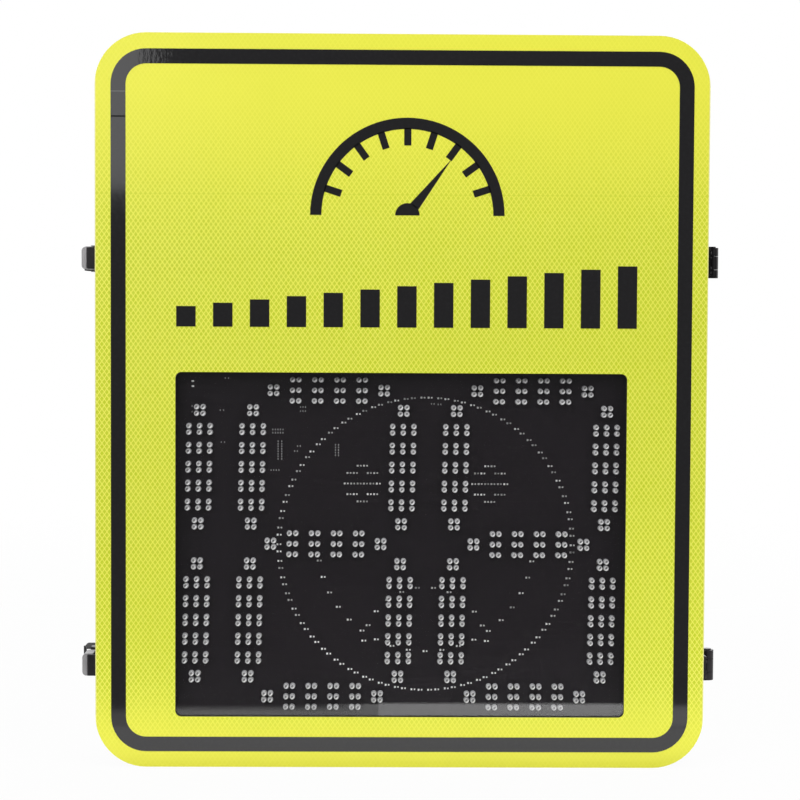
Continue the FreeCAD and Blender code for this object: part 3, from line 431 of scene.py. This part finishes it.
def brightFinish(name, look):
    finish, tree, shader = startFinish(name)
    grain = noiseOn(tree, objectPlace(tree), brightGrain["scale"], 2.0)
    darker = [part * brightGrain["shade"] for part in look["colour"]]
    link(tree, mixed(tree, mapped(tree, grain, *noiseSpan), darker, look["colour"]), shader, "Base Color")
    roughBy(tree, shader, grain, look["rough"], brightGrain["roughLeast"], brightGrain["roughMost"])
    shader.inputs["Metallic"].default_value = look["metal"]
    return finish


for name, look in brightLooks.items():
    finishes[name] = brightFinish(name + "Finish", look)


# solder ends of the small LEDs, each pair as bright as its own share, then painted light: a painted highlight
# makes all bright at the foot of the ring, painted shade makes them duller to the right and upwards, with
# start and end in mm and the share that is left at the end
endLook = {"dull": (0.05, 0.05, 0.05), "bright": (1.0, 1.0, 0.99), "rough": 0.35, "grain": 700.0,
           "grainLeast": 0.9, "foot": (-240.0, -190.0), "across": (-120.0, 170.0, 0.75),
           "crown": (-190.0, 5.0, 0.85)}


def endFinish(look):
    finish, tree, shader = startFinish("ledEndFinish")
    place = objectPlace(tree)
    x, y, z = axes(tree, place)
    # painted highlight: all ends bright at the foot of the ring
    foot = mappedMm(tree, z, *look["foot"], 1.0, 0.0)
    share = maths(tree, "MAXIMUM", attributeOf(tree, "endShare"), foot)
    grain = mapped(tree, noiseOn(tree, place, look["grain"], 2.0), *noiseSpan, look["grainLeast"], 1.0)
    colour = mixed(tree, times(tree, share, grain), look["dull"], look["bright"])
    # painted shade: ends darken to the right and upwards
    for axis, start, end, least in ((x, *look["across"]), (z, *look["crown"])):
        colour = mixed(tree, mappedMm(tree, axis, start, end, 1.0, least), black, colour)
    link(tree, colour, shader, "Base Color")
    shader.inputs["Roughness"].default_value = look["rough"]
    return finish


finishes["ledEnd"] = endFinish(endLook)

for name, node in nodes.items():
    slotName = node.material_slots[0].material.name.split(".")[0]
    node.material_slots[0].material = finishes["lever" if name.endswith("latch_lever") else slotName]
print("finishes set,", len(finishes))


# geometry trees: named inputs, grown on points, then made a plain mesh
def startTree(name, inputs):
    tree = bpy.data.node_groups.new(name, "GeometryNodeTree")
    tree.interface.new_socket("Geometry", in_out="INPUT", socket_type="NodeSocketGeometry")
    for label in inputs:
        tree.interface.new_socket(label, in_out="INPUT", socket_type="NodeSocketFloat")
    tree.interface.new_socket("Geometry", in_out="OUTPUT", socket_type="NodeSocketGeometry")
    return tree, put(tree, "NodeGroupInput").outputs


def painted(tree, geometry, finish):
    return put(tree, "GeometryNodeSetMaterial", {"Geometry": geometry, "Material": finish}).outputs[0]


def endTree(tree, geometry, finish=None):
    real = put(tree, "GeometryNodeRealizeInstances", {"Geometry": geometry}).outputs[0]
    if finish is not None:
        real = painted(tree, real, finish)
    put(tree, "NodeGroupOutput", {0: real})
    return tree


def setOn(tree, points, instance, **more):
    sockets = {"Points": points, "Instance": instance, **more}
    return put(tree, "GeometryNodeInstanceOnPoints", sockets).outputs[0]


def moved(tree, geometry, shift, **more):
    sockets = {"Geometry": geometry, "Translation": shift, **more}
    return put(tree, "GeometryNodeTransform", sockets).outputs[0]


def marked(tree, geometry, name, value):
    sockets = {"Geometry": geometry, "Name": name, "Value": value}
    return put(tree, "GeometryNodeStoreNamedAttribute", sockets, data_type="FLOAT", domain="POINT").outputs[0]


def cubeOf(tree, size):
    return put(tree, "GeometryNodeMeshCube", {"Size": size}).outputs[0]


def grow(name, points, tree, inputs, sizes=()):
    seed = bpy.data.meshes.new(name + "Points")
    seed.from_pydata([Vector(point) * mm for point in points], [], [])
    if sizes:
        layer = seed.attributes.new("blockSize", "FLOAT_VECTOR", "POINT")
        for spot, size in zip(layer.data, sizes):
            spot.vector = Vector(size) * mm
    piece = bpy.data.objects.new(name, seed)
    bpy.context.scene.collection.objects.link(piece)
    modifier = piece.modifiers.new("grow", "NODES")
    modifier.node_group = tree
    for item in tree.interface.items_tree:
        if item.in_out == "INPUT" and item.name in inputs:
            modifier[item.identifier] = float(inputs[item.name])
    piece.data.update()
    seen = piece.evaluated_get(bpy.context.evaluated_depsgraph_get())
    plain = bpy.data.meshes.new_from_object(seen)
    piece.modifiers.clear()
    piece.data = plain
    plain.name = name
    return piece


def islandMiddles(mesh):
    work = bmesh.new()
    work.from_mesh(mesh)
    bmesh.ops.remove_doubles(work, verts=work.verts, dist=1e-6)
    left = set(work.verts)
    middles = []
    while left:
        island, queue = [], [left.pop()]
        while queue:
            vert = queue.pop()
            island.append(vert.co)
            for edge in vert.link_edges:
                other = edge.other_vert(vert)
                if other in left:
                    left.remove(other)
                    queue.append(other)
        middles.append(sum(island, Vector()) / len(island) / mm)
    work.free()
    return sorted(middles, key=lambda middle: (round(middle.z, 1), round(middle.x, 1)))


# round LEDs of the digits, each a flanged dome with its axis forwards; a ring of the dome is its shares
# of radius and height
lensSizes = {"Lens Radius": 2.9 * mm, "Lens Height": 8.6 * mm, "Core Lift": 0.2, "Turn": math.pi / 2}
lensSides = 10
lensRings = [(1.0, 0.0), (1.0, 0.10), (0.90, 0.12), (0.90, 0.64),
             (0.85, 0.78), (0.68, 0.90), (0.40, 0.97), (0.10, 1.0)]


def curveOf(tree, value, heights):
    node = put(tree, "ShaderNodeFloatCurve", {"Value": value})
    points = node.mapping.curves[0].points
    last = len(heights) - 1
    points[0].location, points[1].location = (0.0, heights[0]), (1.0, heights[-1])
    for index in range(1, last):
        points.new(index / last, heights[index])
    for point in points:
        point.handle_type = "VECTOR"
    node.mapping.update()
    return node.outputs[0]


def spanOf(tree, across, upward):
    squares = [times(tree, value, value) for value in (across, upward)]
    return maths(tree, "SQRT", maths(tree, "ADD", *squares))


def lensTree():
    tree, given = startTree("roundLens", lensSizes)
    tube = {"Vertices": lensSides, "Side Segments": len(lensRings) - 1, "Radius": 1.0, "Depth": 1.0}
    body = put(tree, "GeometryNodeMeshCylinder", tube).outputs[0]
    x, y, z = axes(tree, put(tree, "GeometryNodeInputPosition").outputs[0])
    rise = maths(tree, "ADD", z, 0.5)
    wide = times(tree, curveOf(tree, rise, [ring[0] for ring in lensRings]), given["Lens Radius"])
    tall = times(tree, curveOf(tree, rise, [ring[1] for ring in lensRings]), given["Lens Height"])
    spot = vectorOf(tree, times(tree, x, wide), times(tree, y, wide), tall)
    shaped = put(tree, "GeometryNodeSetPosition", {"Geometry": body, "Position": spot}).outputs[0]
    right, upward = axes(tree, put(tree, "GeometryNodeInputPosition").outputs[0])[:2]
    lifted = maths(tree, "SUBTRACT", upward, times(tree, given["Lens Radius"], given["Core Lift"]))
    slant = times(tree, maths(tree, "SUBTRACT", right, lifted), math.sqrt(0.5))
    marks = {"lensReach": spanOf(tree, right, upward), "lensCore": spanOf(tree, right, lifted),
             "lensSlant": slant}
    for name, span in marks.items():
        shaped = marked(tree, shaped, name, maths(tree, "DIVIDE", span, given["Lens Radius"]))
    smooth = put(tree, "GeometryNodeSetShadeSmooth", {"Geometry": shaped}).outputs[0]
    many = setOn(tree, given["Geometry"], smooth, Rotation=vectorOf(tree, given["Turn"]))
    return endTree(tree, many, finishes["led_lens"])


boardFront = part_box("display_board")[0].y / mm
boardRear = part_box("display_board")[1].y / mm
ledSpots = [(middle.x, boardFront, middle.z) for middle in islandMiddles(nodes["digit_leds"].data)]
digitLenses = grow("digitLenses", ledSpots, lensTree(), lensSizes)
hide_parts("digit_leds")
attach(digitLenses, "door")
print("digit lenses,", len(ledSpots), "LEDs", len(digitLenses.data.polygons), "faces")


# small LEDs of the ring-shaped face: a dark chip with a bright solder end each side
chipSizes = {"Chip Length": 3.1 * mm, "Chip Width": 1.75 * mm, "Chip Height": 0.9 * mm, "Body Share": 0.8,
             "End Length": 1.7 * mm, "End Rise": 1.1, "Small End": 0.8, "Least Share": 0.3, "Seed": 7}


def chipTree():
    tree, given = startTree("smallLed", chipSizes)
    half = times(tree, given["Chip Height"], -0.5)
    bodyLength = maths(tree, "SUBTRACT", given["Chip Length"], given["End Length"])
    bodyWidth = times(tree, given["Chip Width"], given["Body Share"])
    body = cubeOf(tree, vectorOf(tree, bodyLength, given["Chip Height"], bodyWidth))
    body = moved(tree, body, vectorOf(tree, 0.0, half))
    parts = put(tree, "GeometryNodeJoinGeometry")
    tree.links.new(painted(tree, body, finishes["black_plastic"]), parts.inputs[0])
    endHeight = times(tree, given["Chip Height"], given["End Rise"])
    endHalf = times(tree, half, given["End Rise"])
    for side, share in ((-0.5, 1.0), (0.5, given["Small End"])):
        endLength = times(tree, given["End Length"], share)
        endWidth = times(tree, given["Chip Width"], share)
        end = cubeOf(tree, vectorOf(tree, endLength, endHeight, endWidth))
        end = moved(tree, end, vectorOf(tree, times(tree, given["Chip Length"], side), endHalf))
        tree.links.new(painted(tree, end, finishes["ledEnd"]), parts.inputs[0])
    draw = {"Min": given["Least Share"], "Seed": given["Seed"]}
    chance = put(tree, "FunctionNodeRandomValue", draw, data_type="FLOAT").outputs["Value"]
    kept = marked(tree, given["Geometry"], "endShare", chance)
    return endTree(tree, setOn(tree, kept, parts.outputs[0]))


# an eye row is its rise and the reaches of its LEDs each side; angles in degrees
ringFace = {"x": 25.0, "z": -140.1, "radius": 145.4, "groups": 55, "pairAngle": 2.8,
            "smile": 106.7, "smileLeds": 19, "smileStart": 189.0, "smileSweep": 162.0,
            "frown": 61.4, "frownDrop": 104.4, "frownLeds": 12, "frownStart": 7.5, "frownStep": 15.0,
            "eyeX": 63.1, "eyeZ": 60.0,
            "eyeRows": ((17.7, (3.1,)), (10.5, (6.9, 13.2)), (0.0, (3.1, 9.5, 15.9)), (-10.5, (6.9, 13.2)),
                        (-17.7, (3.1,)))}


def ringSpots(face):
    spots = []

    def polar(radius, degrees, dropZ=0.0):
        angle = math.radians(degrees)
        spots.append((face["x"] + radius * math.cos(angle), boardFront,
                      face["z"] - dropZ + radius * math.sin(angle)))
    for group in range(face["groups"]):
        for side in (-0.5, 0.5):
            polar(face["radius"], 90 + group * 360 / face["groups"] + side * face["pairAngle"])
    for index in range(face["smileLeds"]):
        polar(face["smile"], face["smileStart"] + index * face["smileSweep"] / (face["smileLeds"] - 1))
    for index in range(face["frownLeds"]):
        polar(face["frown"], face["frownStart"] + index * face["frownStep"], face["frownDrop"])
    for side in (-1, 1):
        for rise, reaches in face["eyeRows"]:
            for reach in reaches:
                for way in (-1, 1):
                    spots.append((face["x"] + side * face["eyeX"] + way * reach, boardFront,
                                  face["z"] + face["eyeZ"] + rise))
    return spots


smallLeds = grow("ringFaceLeds", ringSpots(ringFace), chipTree(), chipSizes)
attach(smallLeds, "door")
print("small LEDs,", len(smallLeds.data.polygons), "faces")


# bare pads of the board: x, z of a group's middle, columns, rows, pitches
padSets = {
    "boardPads": {"finish": "faintPad", "sizes": {
        "Pad Width": 1.0 * mm, "Pad Height": 1.6 * mm, "Pad Thick": 0.12 * mm}, "groups": (
        (-121.7, -28.5, 5, 2, 2.5, 3.2), (-119.7, -47.3, 2, 8, 3.6, 2.5), (-124.5, -67.1, 4, 1, 2.6, 1.0),
        (-97.0, -4.6, 3, 1, 2.4, 1.0), (-97.0, -8.6, 3, 1, 2.4, 1.0), (-100.9, -43.2, 2, 1, 2.6, 1.0),
        (-103.8, -48.2, 2, 1, 2.6, 1.0), (-63.3, -47.0, 2, 5, 3.0, 2.6), (-172.1, 23.7, 2, 1, 3.2, 1.0),
        (-177.0, -8.0, 2, 1, 3.2, 1.0), (-176.0, -39.6, 2, 1, 3.2, 1.0), (-206.4, -4.1, 1, 1, 1.0, 1.0),
        (-206.4, -9.6, 1, 1, 1.0, 1.0), (31.2, -0.9, 2, 1, 2.6, 1.0), (37.8, -1.4, 2, 1, 2.6, 1.0))},
    "boardDots": {"finish": "brightPad", "sizes": {
        "Pad Width": 2.4 * mm, "Pad Height": 1.6 * mm, "Pad Thick": 0.12 * mm}, "groups": (
        (-205.7, 20.6, 1, 1, 1.0, 1.0), (-205.6, 15.6, 1, 1, 1.0, 1.0))},
}


def padTree(name, sizes, finish):
    tree, given = startTree(name, sizes)
    pad = cubeOf(tree, vectorOf(tree, given["Pad Width"], given["Pad Thick"], given["Pad Height"]))
    pad = moved(tree, pad, vectorOf(tree, 0.0, times(tree, given["Pad Thick"], -0.5)))
    return endTree(tree, setOn(tree, given["Geometry"], pad), finish)


def padSpots(groups):
    spots = []
    for x, z, columns, rows, pitchX, pitchZ in groups:
        for column in range(columns):
            for row in range(rows):
                spots.append((x + (column - (columns - 1) / 2) * pitchX, boardFront,
                              z + (row - (rows - 1) / 2) * pitchZ))
    return spots


for name, look in padSets.items():
    tree = padTree(name + "Tree", look["sizes"], finishes[look["finish"]])
    pads = grow(name, padSpots(look["groups"]), tree, look["sizes"])
    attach(pads, "door")


# solder cones on the back of the board, two for each LED
coneSizes = {"Cone Radius": 0.85 * mm, "Tip Radius": 0.18 * mm, "Cone Height": 1.1 * mm, "Turn": -math.pi / 2}
coneSides = 6
legOffset = 1.27


def coneTree():
    tree, given = startTree("solderCone", coneSizes)
    sockets = {"Vertices": coneSides, "Radius Top": given["Tip Radius"],
               "Radius Bottom": given["Cone Radius"], "Depth": given["Cone Height"]}
    cone = put(tree, "GeometryNodeMeshCone", sockets).outputs[0]
    many = setOn(tree, given["Geometry"], cone, Rotation=vectorOf(tree, given["Turn"]))
    return endTree(tree, many, finishes["solder"])


coneSpots = [(x + side * legOffset, boardRear, z) for x, y, z in ledSpots for side in (-1, 1)]
solderCones = grow("solderCones", coneSpots, coneTree(), coneSizes)
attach(solderCones, "door")
print("board dressed,", len(coneSpots), "solder cones")


# devices in the case: blocks on the controller board as x, z from its middle, width, height, depth
deviceBlocks = {
    "boardChips": {"finish": "black_plastic", "round": False, "blocks": (
        (-26, 12, 20, 20, 1.8), (14, 18, 12, 16, 1.6), (14, -8, 9, 8, 1.4), (46, 22, 14, 12, 4.5),
        (46, 0, 14, 12, 4.5), (-56, 20, 8, 6, 1.4), (-56, 6, 8, 6, 1.4), (-26, -14, 8, 6, 1.4))},
    "boardSockets": {"finish": "white_plastic", "round": False, "blocks": (
        (-42, -42, 32, 8, 9.0), (0, -42, 26, 8, 9.0), (42, -42, 32, 8, 9.0), (-36, 42, 20, 7, 7.5))},
    "boardCans": {"finish": "zinc_plate", "round": True, "blocks": (
        (4, 42, 10, 10, 12.0), (18, 42, 10, 10, 12.0), (36, 43, 8, 8, 9.0))},
}
terminalScrews = {"finish": "zinc_plate", "round": True, "ways": 8, "rows": (-0.27, 0.27), "radius": 2.3,
                  "depth": 0.7}
canSides = 24


# a unit solid with its rear face on the point, sized by the point's own block size
def blockTree(name, look):
    tree, given = startTree(name, {})
    if look["round"]:
        tube = {"Vertices": canSides, "Radius": 0.5, "Depth": 1.0}
        solid = put(tree, "GeometryNodeMeshCylinder", tube).outputs[0]
        turned = moved(tree, solid, (0.0, -0.5, 0.0), Rotation=(math.pi / 2, 0.0, 0.0))
    else:
        turned = moved(tree, cubeOf(tree, (1.0, 1.0, 1.0)), (0.0, -0.5, 0.0))
    known = put(tree, "GeometryNodeInputNamedAttribute", {"Name": "blockSize"}, data_type="FLOAT_VECTOR")
    many = setOn(tree, given["Geometry"], turned, Scale=known.outputs[0])
    return endTree(tree, many, finishes[look["finish"]])


def seatBlocks(name, look, spots, sizes):
    piece = grow(name, spots, blockTree(name + "Tree", look), {}, sizes)
    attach(piece, "case")
    return len(spots)


low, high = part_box("controller_board")
middle = (low + high) / 2 / mm
seated = 0
for name, look in deviceBlocks.items():
    spots = [(middle.x + block[0], low.y / mm, middle.z + block[1]) for block in look["blocks"]]
    seated += seatBlocks(name, look, spots, [(block[2], block[4], block[3]) for block in look["blocks"]])
low, high = [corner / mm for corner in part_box("terminal_block")]
spots = []
for way in range(terminalScrews["ways"]):
    for row in terminalScrews["rows"]:
        spots.append((low.x + (way + 0.5) * (high.x - low.x) / terminalScrews["ways"], low.y,
                      (low.z + high.z) / 2 + row * (high.z - low.z)))
across = 2 * terminalScrews["radius"]
seated += seatBlocks("terminalScrews", terminalScrews, spots,
                     [(across, terminalScrews["depth"], across)] * len(spots))
print("devices dressed,", seated, "blocks")


# legend in black film: a half-round gauge above, a row of rising bars below
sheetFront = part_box("reflective_sheet")[0].y / mm
legend = {"thick": 0.18, "gaugeX": 4.8, "gaugeZ": 184.0, "gaugeRadius": 95.0, "gaugeWidth": 11.0,
          "gaugeSteps": 48, "hub": 12.0, "hubSteps": 24, "needleAngle": 52.0, "needleReach": 70.0,
          "needleBase": 5.0, "needleGap": 0.05, "barsX": 4.8, "barsZ": 74.5}
tickSizes = {"Count": 9, "Start": math.radians(18), "Step": math.radians(18), "Reach": 68.0 * mm,
             "Tick Length": 17.0 * mm, "Tick Width": 7.0 * mm, "Thick": legend["thick"] * mm}
barSizes = {"Count": 13, "Pitch": 36.0 * mm, "Bar Width": 19.0 * mm, "Low": 20.0 * mm, "High": 61.0 * mm,
            "Thick": legend["thick"] * mm}


def copiesOf(tree, given):
    sockets = {"Geometry": given["Geometry"], "Amount": given["Count"]}
    copies = put(tree, "GeometryNodeDuplicateElements", sockets, domain="POINT")
    return copies.outputs[0], copies.outputs["Duplicate Index"]


def tickTree():
    tree, given = startTree("gaugeTicks", tickSizes)
    cube = cubeOf(tree, vectorOf(tree, given["Tick Length"], given["Thick"], given["Tick Width"]))
    out = maths(tree, "ADD", given["Reach"], times(tree, given["Tick Length"], 0.5))
    tick = moved(tree, cube, vectorOf(tree, out, times(tree, given["Thick"], -0.5)))
    points, index = copiesOf(tree, given)
    angle = maths(tree, "MULTIPLY_ADD", index, given["Step"], given["Start"])
    many = setOn(tree, points, tick, Rotation=vectorOf(tree, 0.0, times(tree, angle, -1.0)))
    return endTree(tree, many, finishes["black_film"])


def barTree():
    tree, given = startTree("levelBars", barSizes)
    footed = moved(tree, cubeOf(tree, (1.0, 1.0, 1.0)), (0.0, -0.5, 0.5))
    points, index = copiesOf(tree, given)
    last = maths(tree, "SUBTRACT", given["Count"], 1.0)
    offset = maths(tree, "SUBTRACT", index, times(tree, last, 0.5))
    shift = vectorOf(tree, times(tree, offset, given["Pitch"]))
    placed = put(tree, "GeometryNodeSetPosition", {"Geometry": points, "Offset": shift}).outputs[0]
    share = maths(tree, "DIVIDE", index, last)
    growth = maths(tree, "SUBTRACT", given["High"], given["Low"])
    kept = marked(tree, placed, "barTall", maths(tree, "MULTIPLY_ADD", share, growth, given["Low"]))
    known = put(tree, "GeometryNodeInputNamedAttribute", {"Name": "barTall"}, data_type="FLOAT").outputs[0]
    many = setOn(tree, kept, footed, Scale=vectorOf(tree, given["Bar Width"], given["Thick"], known))
    return endTree(tree, many, finishes["black_film"])


def plateFrom(work, outline, yFront, yBack):
    front = [work.verts.new(Vector((x, yFront, z)) * mm) for x, z in outline]
    back = [work.verts.new(Vector((x, yBack, z)) * mm) for x, z in outline]
    work.faces.new(front)
    work.faces.new(back[::-1])
    for index in range(len(outline)):
        after = (index + 1) % len(outline)
        work.faces.new((front[index], back[index], back[after], front[after]))


def gaugePiece(look):
    work = bmesh.new()
    yFront, yBack = sheetFront - look["thick"], sheetFront

    def onArc(radius, degrees):
        angle = math.radians(degrees)
        return (look["gaugeX"] + radius * math.cos(angle), look["gaugeZ"] + radius * math.sin(angle))

    def halfRound(radius, steps):
        return [onArc(radius, 180 * step / steps) for step in range(steps + 1)]
    outer = halfRound(look["gaugeRadius"], look["gaugeSteps"])
    inner = halfRound(look["gaugeRadius"] - look["gaugeWidth"], look["gaugeSteps"])
    plateFrom(work, outer + inner[::-1], yFront, yBack)
    plateFrom(work, halfRound(look["hub"], look["hubSteps"]), yFront, yBack)
    along, side = look["needleAngle"], math.degrees(math.asin(look["needleBase"] / look["hub"]))
    foot = look["hub"] + look["needleGap"]
    needle = [onArc(foot, along - side), onArc(look["needleReach"], along), onArc(foot, along + side)]
    plateFrom(work, needle, yFront, yBack)
    bmesh.ops.recalc_face_normals(work, faces=work.faces)
    mesh = bpy.data.meshes.new("gaugeLegend")
    work.to_mesh(mesh)
    work.free()
    mesh.materials.append(finishes["black_film"])
    piece = bpy.data.objects.new("gaugeLegend", mesh)
    bpy.context.scene.collection.objects.link(piece)
    return piece


legendPieces = [gaugePiece(legend),
                grow("gaugeTicks", [(legend["gaugeX"], sheetFront, legend["gaugeZ"])], tickTree(), tickSizes),
                grow("levelBars", [(legend["barsX"], sheetFront, legend["barsZ"])], barTree(), barSizes)]
for piece in legendPieces:
    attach(piece, "door")
print("legend laid,", sum(len(piece.data.polygons) for piece in legendPieces), "faces")


# floor: white to the camera and in gloss, open at its front left and fading far behind
floorLook = {"side": 2.0, "front": -0.46, "back": 3.0, "drop": 0.4, "colour": (0.72, 0.72, 0.72),
             "rough": 0.8, "glow": 0.96, "fadeSide": (-0.10, -0.02), "fadeDepth": (-0.458, -0.403),
             "fadeBack": (0.6, 2.6)}


def floorPiece(look):
    height = cadBox[0][2] - look["drop"] * mm
    corners = ((-1, look["front"]), (1, look["front"]), (1, look["back"]), (-1, look["back"]))
    mesh = bpy.data.meshes.new("floor")
    mesh.from_pydata([(side * look["side"], depth, height) for side, depth in corners], [], [range(4)])
    floor = bpy.data.objects.new("floor", mesh)
    bpy.context.scene.collection.objects.link(floor)
    finish, tree, shader = startFinish("floorFinish")
    shader.inputs["Base Color"].default_value = (*look["colour"], 1.0)
    shader.inputs["Roughness"].default_value = look["rough"]
    white = put(tree, "ShaderNodeEmission", {"Strength": 1.0})
    rays = put(tree, "ShaderNodeLightPath")
    seen = maths(tree, "MAXIMUM", rays.outputs["Is Camera Ray"], rays.outputs["Is Transmission Ray"])
    seen = maths(tree, "MAXIMUM", seen, rays.outputs["Is Glossy Ray"])
    either = put(tree, "ShaderNodeMixShader", {0: times(tree, seen, look["glow"]), 1: shader.outputs["BSDF"],
                                               2: white.outputs["Emission"]})
    x, y, z = axes(tree, objectPlace(tree))
    left = mapped(tree, x, *look["fadeSide"], 1.0, 0.0)
    opened = times(tree, left, mapped(tree, y, *look["fadeDepth"], 1.0, 0.0))
    shown = times(tree, maths(tree, "SUBTRACT", 1.0, opened), mapped(tree, y, *look["fadeBack"], 1.0, 0.0))
    clear = put(tree, "ShaderNodeBsdfTransparent")
    faded = {0: shown, 1: clear.outputs["BSDF"], 2: either.outputs["Shader"]}
    surfaceFrom(tree, put(tree, "ShaderNodeMixShader", faded))
    mesh.materials.append(finish)


floorPiece(floorLook)


# white behind the sign and to the camera, a dim room in front of it
worldLook = {"level": 0.55, "frontGloss": 0.06, "backGloss": 1.0, "turnover": (-0.25, 0.25)}


def studioWorld(look):
    world = bpy.data.worlds.new("studio")
    bpy.context.scene.world = world
    world.use_nodes = True
    tree = world.node_tree
    tree.nodes.clear()
    x, y, z = axes(tree, put(tree, "ShaderNodeTexCoord").outputs["Generated"])
    gloss = mapped(tree, y, *look["turnover"], look["frontGloss"], look["backGloss"])
    rays = put(tree, "ShaderNodeLightPath")
    mirrored = maths(tree, "MAXIMUM", rays.outputs["Is Glossy Ray"], rays.outputs["Is Transmission Ray"])
    level = put(tree, "ShaderNodeMix", {0: mirrored, 2: look["level"], 3: gloss}).outputs[0]
    level = put(tree, "ShaderNodeMix", {0: rays.outputs["Is Camera Ray"], 2: level, 3: 1.0}).outputs[0]
    sky = put(tree, "ShaderNodeBackground", {"Color": (1.0, 1.0, 1.0, 1.0), "Strength": level})
    put(tree, "ShaderNodeOutputWorld", {"Surface": sky.outputs["Background"]})


studioWorld(worldLook)


# soft boxes, and two cards on the floor for the sheen at the foot of film and pane
lamps = {
    "keyBox": {"place": (-1.215, -2.2, 1.225), "aim": (-1.215, 0.0, 1.225), "size": (1.5, 1.82),
               "power": 19.0},
    "fillBox": {"place": (2.3, -2.4, 1.4), "aim": (0.0, -0.1, 0.0), "size": (1.6, 1.6), "power": 16.0},
    "topBox": {"place": (0.1, -0.75, 1.55), "aim": (0.0, -0.1, 0.0), "size": (2.0, 1.0), "power": 11.0},
    "floorCard": {"place": (0.0, -0.245, -0.3585), "aim": (0.0, -0.245, 1.0), "size": (1.2, 0.17),
                  "power": 0.32},
    "bandCard": {"place": (0.28, -0.40, -0.3585), "aim": (0.28, -0.40, 1.0), "size": (0.60, 0.12),
                 "power": 0.16},
    "rearBox": {"place": (0.8, 2.4, 1.4), "aim": (0.0, 0.0, 0.0), "size": (1.8, 1.8), "power": 26.0},
}
for name, look in lamps.items():
    light = bpy.data.lights.new(name, "AREA")
    light.shape = "RECTANGLE"
    light.size, light.size_y = look["size"]
    light.energy = look["power"]
    lamp = bpy.data.objects.new(name, light)
    lamp.location = look["place"]
    lamp.rotation_euler = (Vector(look["aim"]) - lamp.location).to_track_quat("-Z", "Y").to_euler()
    lamp.visible_camera = False
    bpy.context.scene.collection.objects.link(lamp)

# camera at the photograph's place
shot = {"place": (-0.02769, -2.19643, 0.09906), "turn": (87.3412, -0.3036, -0.7167), "lens": 94.5,
        "sensor": 36.0}
lensData = bpy.data.cameras.new("shot")
lensData.lens = shot["lens"]
lensData.sensor_width = shot["sensor"]
camera = bpy.data.objects.new("shot", lensData)
camera.location = shot["place"]
camera.rotation_euler = [math.radians(angle) for angle in shot["turn"]]
bpy.context.scene.collection.objects.link(camera)
bpy.context.scene.camera = camera
bpy.context.scene.view_settings.view_transform = "Standard"
print("stage set")
